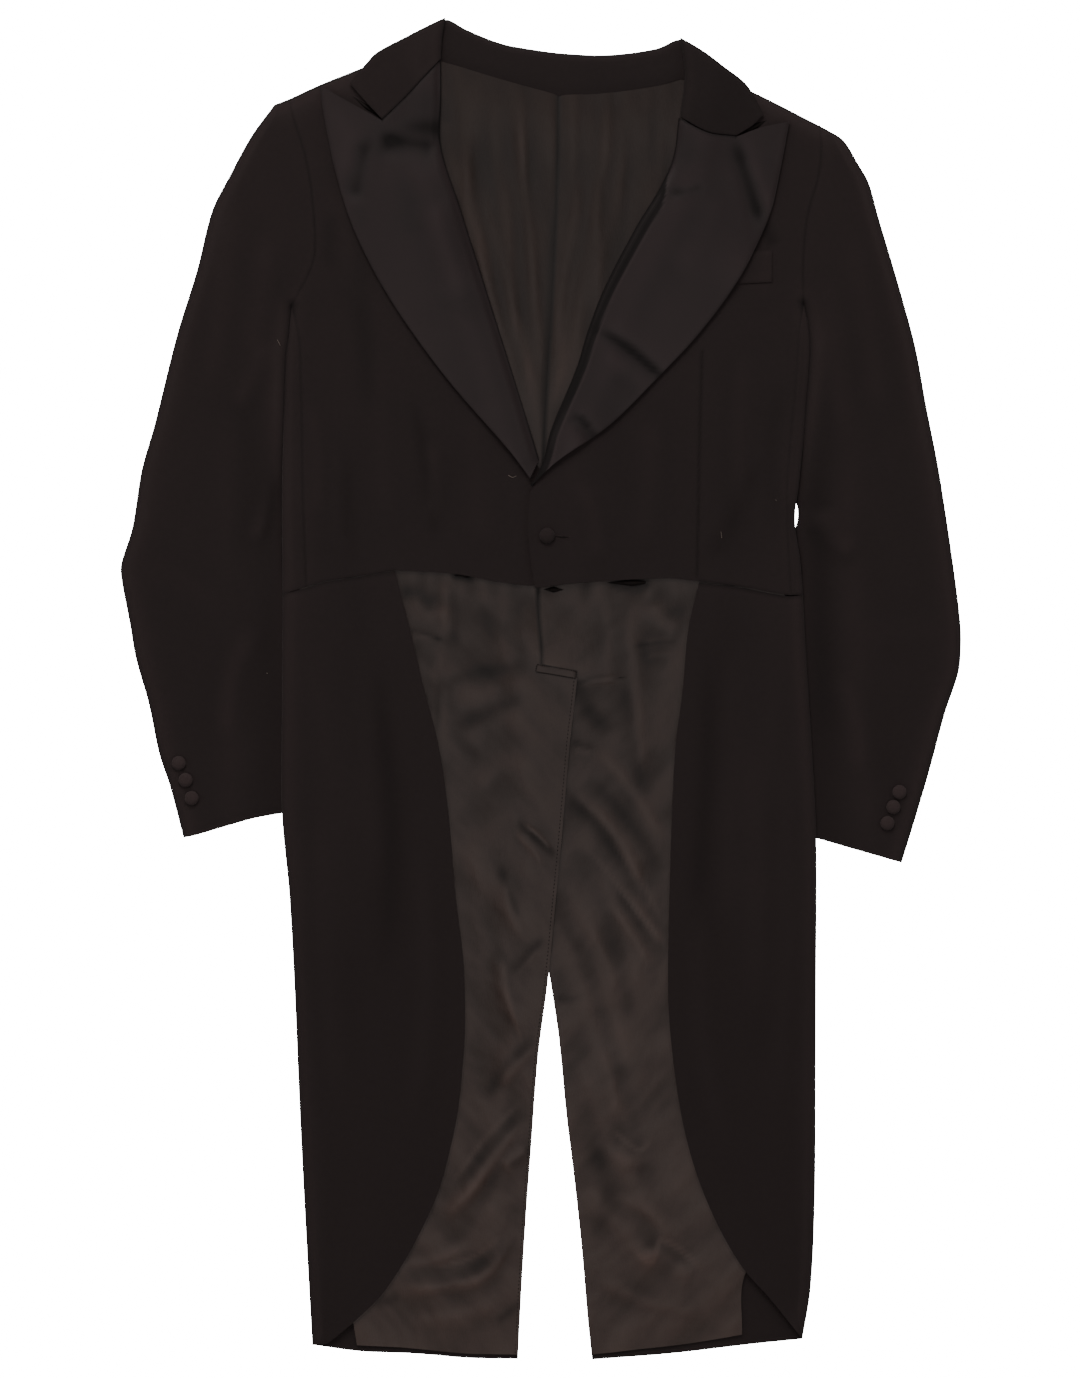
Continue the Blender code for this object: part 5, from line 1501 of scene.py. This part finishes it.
def collar_top(side, places):
    curves = CURVES[side]
    inner = distance(curves["collar inner"], places)
    full, inset, half_width = LEAF_FULL
    swell = full * np.exp(-(((inner - inset) / half_width) ** 2))
    height = front_top(side, places, edged=False) + LAPEL_LAYER + swell
    edge = np.minimum(distance(curves["collar end"], places), distance(curves["collar top"], places))
    height -= LAPEL_EDGE[1] * (1 - rounding(edge, LAPEL_EDGE[0]))
    height += seam_dip([(curves["gorge"], 1)], places)
    return height - ROLL_DROP * (1 - rounding(inner, ROLL_REACH))


def collar_leaf(side):
    inner = rail(side, ("collar inner", even(36)))
    outer = matching(side, "collar end", inner)
    shares = np.unique(np.concatenate([even(36), (0.006, 0.015, 0.985, 0.994)]))
    top, gorge = CURVES[side]["collar top"], CURVES[side]["gorge"][::-1]
    grid = panel(inner, outer, lambda width: shares, top=top, bottom=gorge)
    points = raised(grid, collar_top(side, grid))
    finish, angle = LEAF_FINISH[side]
    # Painted shade along the gorge seam
    shade = seam_shade([(CURVES[side]["gorge"], GORGE_DARK)], grid)
    return cloth("collar_leaf_" + side, points, LAPEL, finish, grain_angle=angle, shade=shade)


for side in LINES:
    collar_leaf(side)
print("collar leaves made")

# %% [markdown]
# The collar stand
#
# Behind the neck the collar shows its stand, a band that folds at the top and falls back under the coat.

# %% Collar stand
COLLAR_FALL = 45.0
COLLAR_FOLD_REACH = 6.0
STAND_SECTIONS = 60
# Shares of the stand's height at which its rows lie, the first one inside the neck seam
STAND_ROWS = (-0.04, 0.0, 0.3, 0.6, 0.8)
SEAM_DROP = 0.5
# Each end runs on a little way under the collar leaf
RIGHT_END = (-93.0, 534.0, -89.0, 566.0)
LEFT_END = (126.0, 519.0, 125.0, 549.0)


def collar_stand():
    stations = np.array([RIGHT_END, *COLLAR_STATIONS, LEFT_END])
    seam, top = (at(drawn(half), even(STAND_SECTIONS)) for half in (stations[:, :2], stations[:, 2:]))
    upright = BACK_OVER_FALL + LINING_TOP
    rows = []
    for share in STAND_ROWS:
        level = upright - SEAM_DROP * (share < 0)
        rows.append(raised(seam + share * (top - seam), np.full(len(seam), level)))
    down = (seam - top) / np.linalg.norm(seam - top, axis=1)[:, None]
    for angle in range(90, -91, -20):
        inward = COLLAR_FOLD_REACH * (1 - math.cos(math.radians(angle)))
        height = upright / 2 * (1 + math.sin(math.radians(angle)))
        rows.append(raised(top + down * inward, np.full(len(top), height)))
    for inward in (COLLAR_FALL / 2, COLLAR_FALL):
        rows.append(raised(top + down * inward, np.zeros(len(top))))
    # The stand is in the darker copy of the wool, as painted shade
    return cloth("collar_stand", np.array(rows).transpose(1, 0, 2), CLOTH, WOOL_SHADED_COPY)


collar_stand()
print("collar stand made")

# %% [markdown]
# Welt and vent stay
#
# The breast pocket is closed by a plain welt, a doubled strip sewn on at its foot and ends. The vent is held
# at its top by a short strip, stitched round.

# %% Welt and stay
WELT_CORNERS = np.array(((152, 370.5), (196.4, 373.5), (196.4, 346), (152, 343.5)))
STAY_CORNERS = np.array(((-3.5, 21.0), (30.3, 15.2), (29.6, 9.0), (-4.5, 14.8)))
WELT = 1.0
STAY = 0.6
# A strip lies this far above the cloth, and its edge is rounded by a drop over a reach
STRIP_GAP, STRIP_EDGE = 0.3, (0.35, 1.6)


def strip(node, corners, side, surface, wall, finish):
    top_left, top_right, low_right, low_left = corners
    inner = np.array([top_left + (low_left - top_left) * share for share in even(12)])
    outer = np.array([top_right + (low_right - top_right) * share for share in even(12)])
    grid = panel(inner, outer, lambda width: even(20))
    outline = np.vstack([corners, corners[:1]])
    edge = 1 - rounding(distance(outline, grid), STRIP_EDGE[1])
    height = surface(side, grid) + STRIP_GAP + wall - STRIP_EDGE[0] * edge
    return cloth(node, raised(grid, height), wall, finish)


strip("breast_welt", WELT_CORNERS, "left", front_top, WELT, WOOL_CLOTH)
strip("vent_stay", STAY_CORNERS, "right", lining_top, STAY, SATEEN_LINING)
print("welt and stay made")

# %% [markdown]
# Buttons
#
# One button closes the front and three sit on each cuff. They are moulds covered in the coat's cloth: domed,
# with a rim where the cover turns under. A turned profile makes them.

# %% Buttons
BUTTON_COVER = wool("button_cover", 0.25, 1.1)
CUFF_COVER = wool("cuff_button_cover", 0.25, 2.0)
# Half of a button's section, from the middle of its top. Columns: share of the radius, share of the height
BUTTON_PROFILE = (
    (0.0, 1.0), (0.2, 0.99), (0.4, 0.95), (0.58, 0.88), (0.72, 0.78), (0.84, 0.66), (0.93, 0.52),
    (0.985, 0.38), (1.0, 0.27), (0.97, 0.16), (0.86, 0.08), (0.7, 0.05), (0.5, 0.0), (0.0, 0.0),
)
# Width and height of each kind
FRONT_BUTTON = (13.0, 3.6)
CUFF_BUTTON = (12.0, 3.2)
BUTTON_GAP = 0.5
FRONT_PLACE = (5.1, 130.3)
CUFF_PLACES = {
    "right": ((-307.7, -62.7), (-301.8, -77.1), (-296.7, -92.4)),
    "left": ((304.3, -87.3), (299.2, -100.0), (294.1, -113.7)),
}


def button(node, size, place, side, surface, cover):
    radius, height = size[0] / 2, size[1]
    shape = bmesh.new()
    points = [shape.verts.new((radius * r * MM, 0, height * h * MM)) for r, h in BUTTON_PROFILE]
    edges = [shape.edges.new(pair) for pair in zip(points, points[1:])]
    bmesh.ops.spin(
        shape, geom=[*points, *edges], cent=(0, 0, 0), axis=(0, 0, 1), dvec=(0, 0, 0),
        angle=math.tau, steps=48, use_merge=True,
    )
    bmesh.ops.remove_doubles(shape, verts=shape.verts, dist=1e-6)
    bmesh.ops.recalc_face_normals(shape, faces=shape.faces)
    layer = shape.loops.layers.uv.new("grain")
    for face in shape.faces:
        for corner in face.loops:
            corner[layer].uv = corner.vert.co.xy
    base = float(surface(side, np.array([place])).max()) + BUTTON_GAP
    bmesh.ops.translate(shape, verts=shape.verts, vec=Vector((*place, base)) * MM)
    return put_in_scene(node + "_covered", shape, cover, node)


button("front_button", FRONT_BUTTON, FRONT_PLACE, "left", front_top, BUTTON_COVER)
for side, places in CUFF_PLACES.items():
    for number, place in enumerate(places, 1):
        button(f"cuff_button_{side}_{number}", CUFF_BUTTON, place, side, sleeve_top, CUFF_COVER)
print("seven buttons made")

# %% [markdown]
# Sewing
#
# What holds the coat together shows in a few places: the buttonhole, the stay across the vent's top, a row of
# stitches along the vent, and the felling of the lining. Each stitch is a small lens of thread.


# %% Threads
def thread(name, colour):
    finish = Finish(name)
    finish.shade(Base_Color=(*colour, 1), Roughness=0.75, Specular_IOR_Level=0.2)
    return finish.material


# Dark thread for the stitches, also laid as painted shadow where the cloth gapes
DARK_THREAD_AND_SHADOW = thread("dark_thread", (0.0060, 0.0042, 0.0036))
PALE_THREAD = thread("pale_thread", (0.034, 0.024, 0.020))
WOOL_THREAD = thread("wool_thread", (0.030, 0.022, 0.020))
LINT = thread("lint", (0.16, 0.14, 0.12))


def lens(shape, start, end, half_width, height):
    """A stitch between two places: six corners, eight faces."""
    start, end = Vector(start), Vector(end)
    middle = (start + end) / 2
    aside = (end - start).cross(Vector((0, 0, 1))).normalized() * half_width
    up = Vector((0, 0, height))
    low = Vector((0, 0, 0.4 * height))
    corners = [start, middle + aside, end, middle - aside, middle + up, middle - low]
    made = [shape.verts.new(corner * MM) for corner in corners]
    for k in range(4):
        shape.faces.new((made[k], made[(k + 1) % 4], made[4]))
        shape.faces.new((made[(k + 1) % 4], made[k], made[5]))


def sewn(name, rows, finish, half_width, height):
    """Rows of stitches as one piece. A row: side, surface, line, length of a stitch, gap, turn in radians."""
    shape = bmesh.new()
    for side, surface, line, stitch, gap, turn in rows:
        run = lengths(line)[-1]
        starts = np.arange(max(gap, 0) / 2, run - stitch, stitch + gap)
        first, last = (at(line, np.array(found) / run) for found in (starts, starts + stitch))
        middle, half = (first + last) / 2, (last - first) / 2
        half = half @ spin(turn)
        ends = [middle - half, middle + half]
        levels = [surface(side, places) for places in ends]
        for (a, b, low, high) in zip(*ends, *levels):
            lens(shape, (*a, low), (*b, high), half_width, height)
    bmesh.ops.recalc_face_normals(shape, faces=shape.faces)
    return put_in_scene(name, shape, finish)


def beside(line, gap):
    """A line at a distance beside another one."""
    along = np.gradient(line, axis=0)
    along /= np.linalg.norm(along, axis=1)[:, None]
    return line + gap * np.stack([-along[:, 1], along[:, 0]], axis=1)


print("threads ready")

# %% Buttonhole
HOLE = np.array(((11.5, 129.6), (25.0, 128.4)))
sewn("buttonhole_slit", [("left", front_top, HOLE, 12.8, 0.1, 0)], DARK_THREAD_AND_SHADOW, 0.9, 0.25)
hole_rows = [("left", front_top, beside(HOLE, gap), 1.1, 0.25, math.pi / 2) for gap in (1.1, -1.1)]
sewn("buttonhole_edge", hole_rows, WOOL_THREAD, 0.35, 0.25)
print("buttonhole made")

# %% Stitches of the lining
STAY_LEVEL = 0.9


def stay_top(side, places):
    return lining_top(side, places) + STAY_LEVEL


stay = [np.array([STAY_CORNERS[k], STAY_CORNERS[(k + 1) % 4]]) for k in range(4)]
stay_rows = [("right", stay_top, line, 1.6, 0.3, 0) for line in stay]
sewn("stay_stitches", stay_rows, DARK_THREAD_AND_SHADOW, 0.6, 0.3)
vent_line = CURVES["right"]["vent edge"]
vent_line = beside(vent_line[vent_line[:, 1] < 8], -2.6)
sewn("vent_stitches", [("right", lining_top, vent_line, 1.8, 1.4, 0)], DARK_THREAD_AND_SHADOW, 0.5, 0.25)
# The felling runs this far from the cutaway's edge, on the lining
FELLED = {"right": 1.6, "left": -1.6}
felled = [(side, lining_top, beside(CURVES[side]["cutaway"], FELLED[side]), 1.0, 1.5, 0) for side in LINES]
sewn("felling_stitches", felled, PALE_THREAD, 0.25, 0.25)
print("stitches of the lining made")

# %% [markdown]
# Painted shadows in the openings, and lint
#
# Where the cloth gapes, at the notches, under the hem of the fronts and in two folds, one sees only shadow,
# and a dark lens lies there as painted shadow. A few threads of lint lie on the wool. The same lenses make
# both.

# %% Painted shadows in the openings
# Columns: side, surface, half width, and the ends
OPENING_SHADOWS = (
    ("left", front_top, 3.4, ((167, 470.5), (192, 483.5))),
    ("right", front_top, 2.0, ((-161, 504.5), (-134, 484))),
    ("left", lining_top, 3.0, ((56, 90.5), (98, 91))),
    ("right", lining_top, 2.4, ((-75, 97), (-57, 96))),
    ("left", lining_top, 2.6, ((2, 85), (19.5, 84.6))),
    ("left", lining_top, 0.8, ((28, 6), (73, 10.5))),
    ("right", lining_top, 1.0, ((-14, -117), (12, -140))),
)
for number, (side, surface, half_width, ends) in enumerate(OPENING_SHADOWS, 1):
    ends = np.array(ends)
    whole = lengths(ends)[-1] - 0.02
    row = (side, surface, ends, whole, 0.01, 0)
    # A dark lens as painted shadow in the gap
    sewn(f"opening_{number}", [row], DARK_THREAD_AND_SHADOW, half_width, 0.15)
print(len(OPENING_SHADOWS), "openings made")

# %% Lint
LINT_PLACES = (
    ("right", sleeve_top, ((-224, 297), (-221, 291))),
    ("right", sleeve_top, ((-233.5, 14), (-232, 13))),
    ("right", front_top, ((-28, 182), (-24, 180), (-20, 182))),
    ("right", front_top, ((-199, 420.6), (-198, 420))),
    ("left", front_top, ((153, 134), (153.6, 128))),
    ("left", front_top, ((199, 161), (200, 160))),
)
lint_rows = [(side, surface, drawn(line), 1.4, -0.3, 0) for side, surface, line in LINT_PLACES]
sewn("lint", lint_rows, LINT, 0.4, 0.5)
print("lint made")

# %% [markdown]
# Sheets and what they rest on
#
# Each panel's own size is measured as it is made. For each sheet the piece that it rests on is found here,
# but nothing is done with either.

# %% Sheets
RESTS = {
    "forepart": "lining",
    "side_body": "back",
    "skirt": "lining",
    "lapel": "forepart",
    "collar_leaf": "forepart",
    "top_sleeve": "under_sleeve",
    "lining": "back",
}
for piece, (width, length, area) in SHEETS.items():
    name = piece.name.removesuffix("_cloth")
    kind, _, side = name.rpartition("_")
    below = [RESTS[kind] + "_" + side] if kind in RESTS else []
    min(area, width * length)
print(len(SHEETS), "sheets")
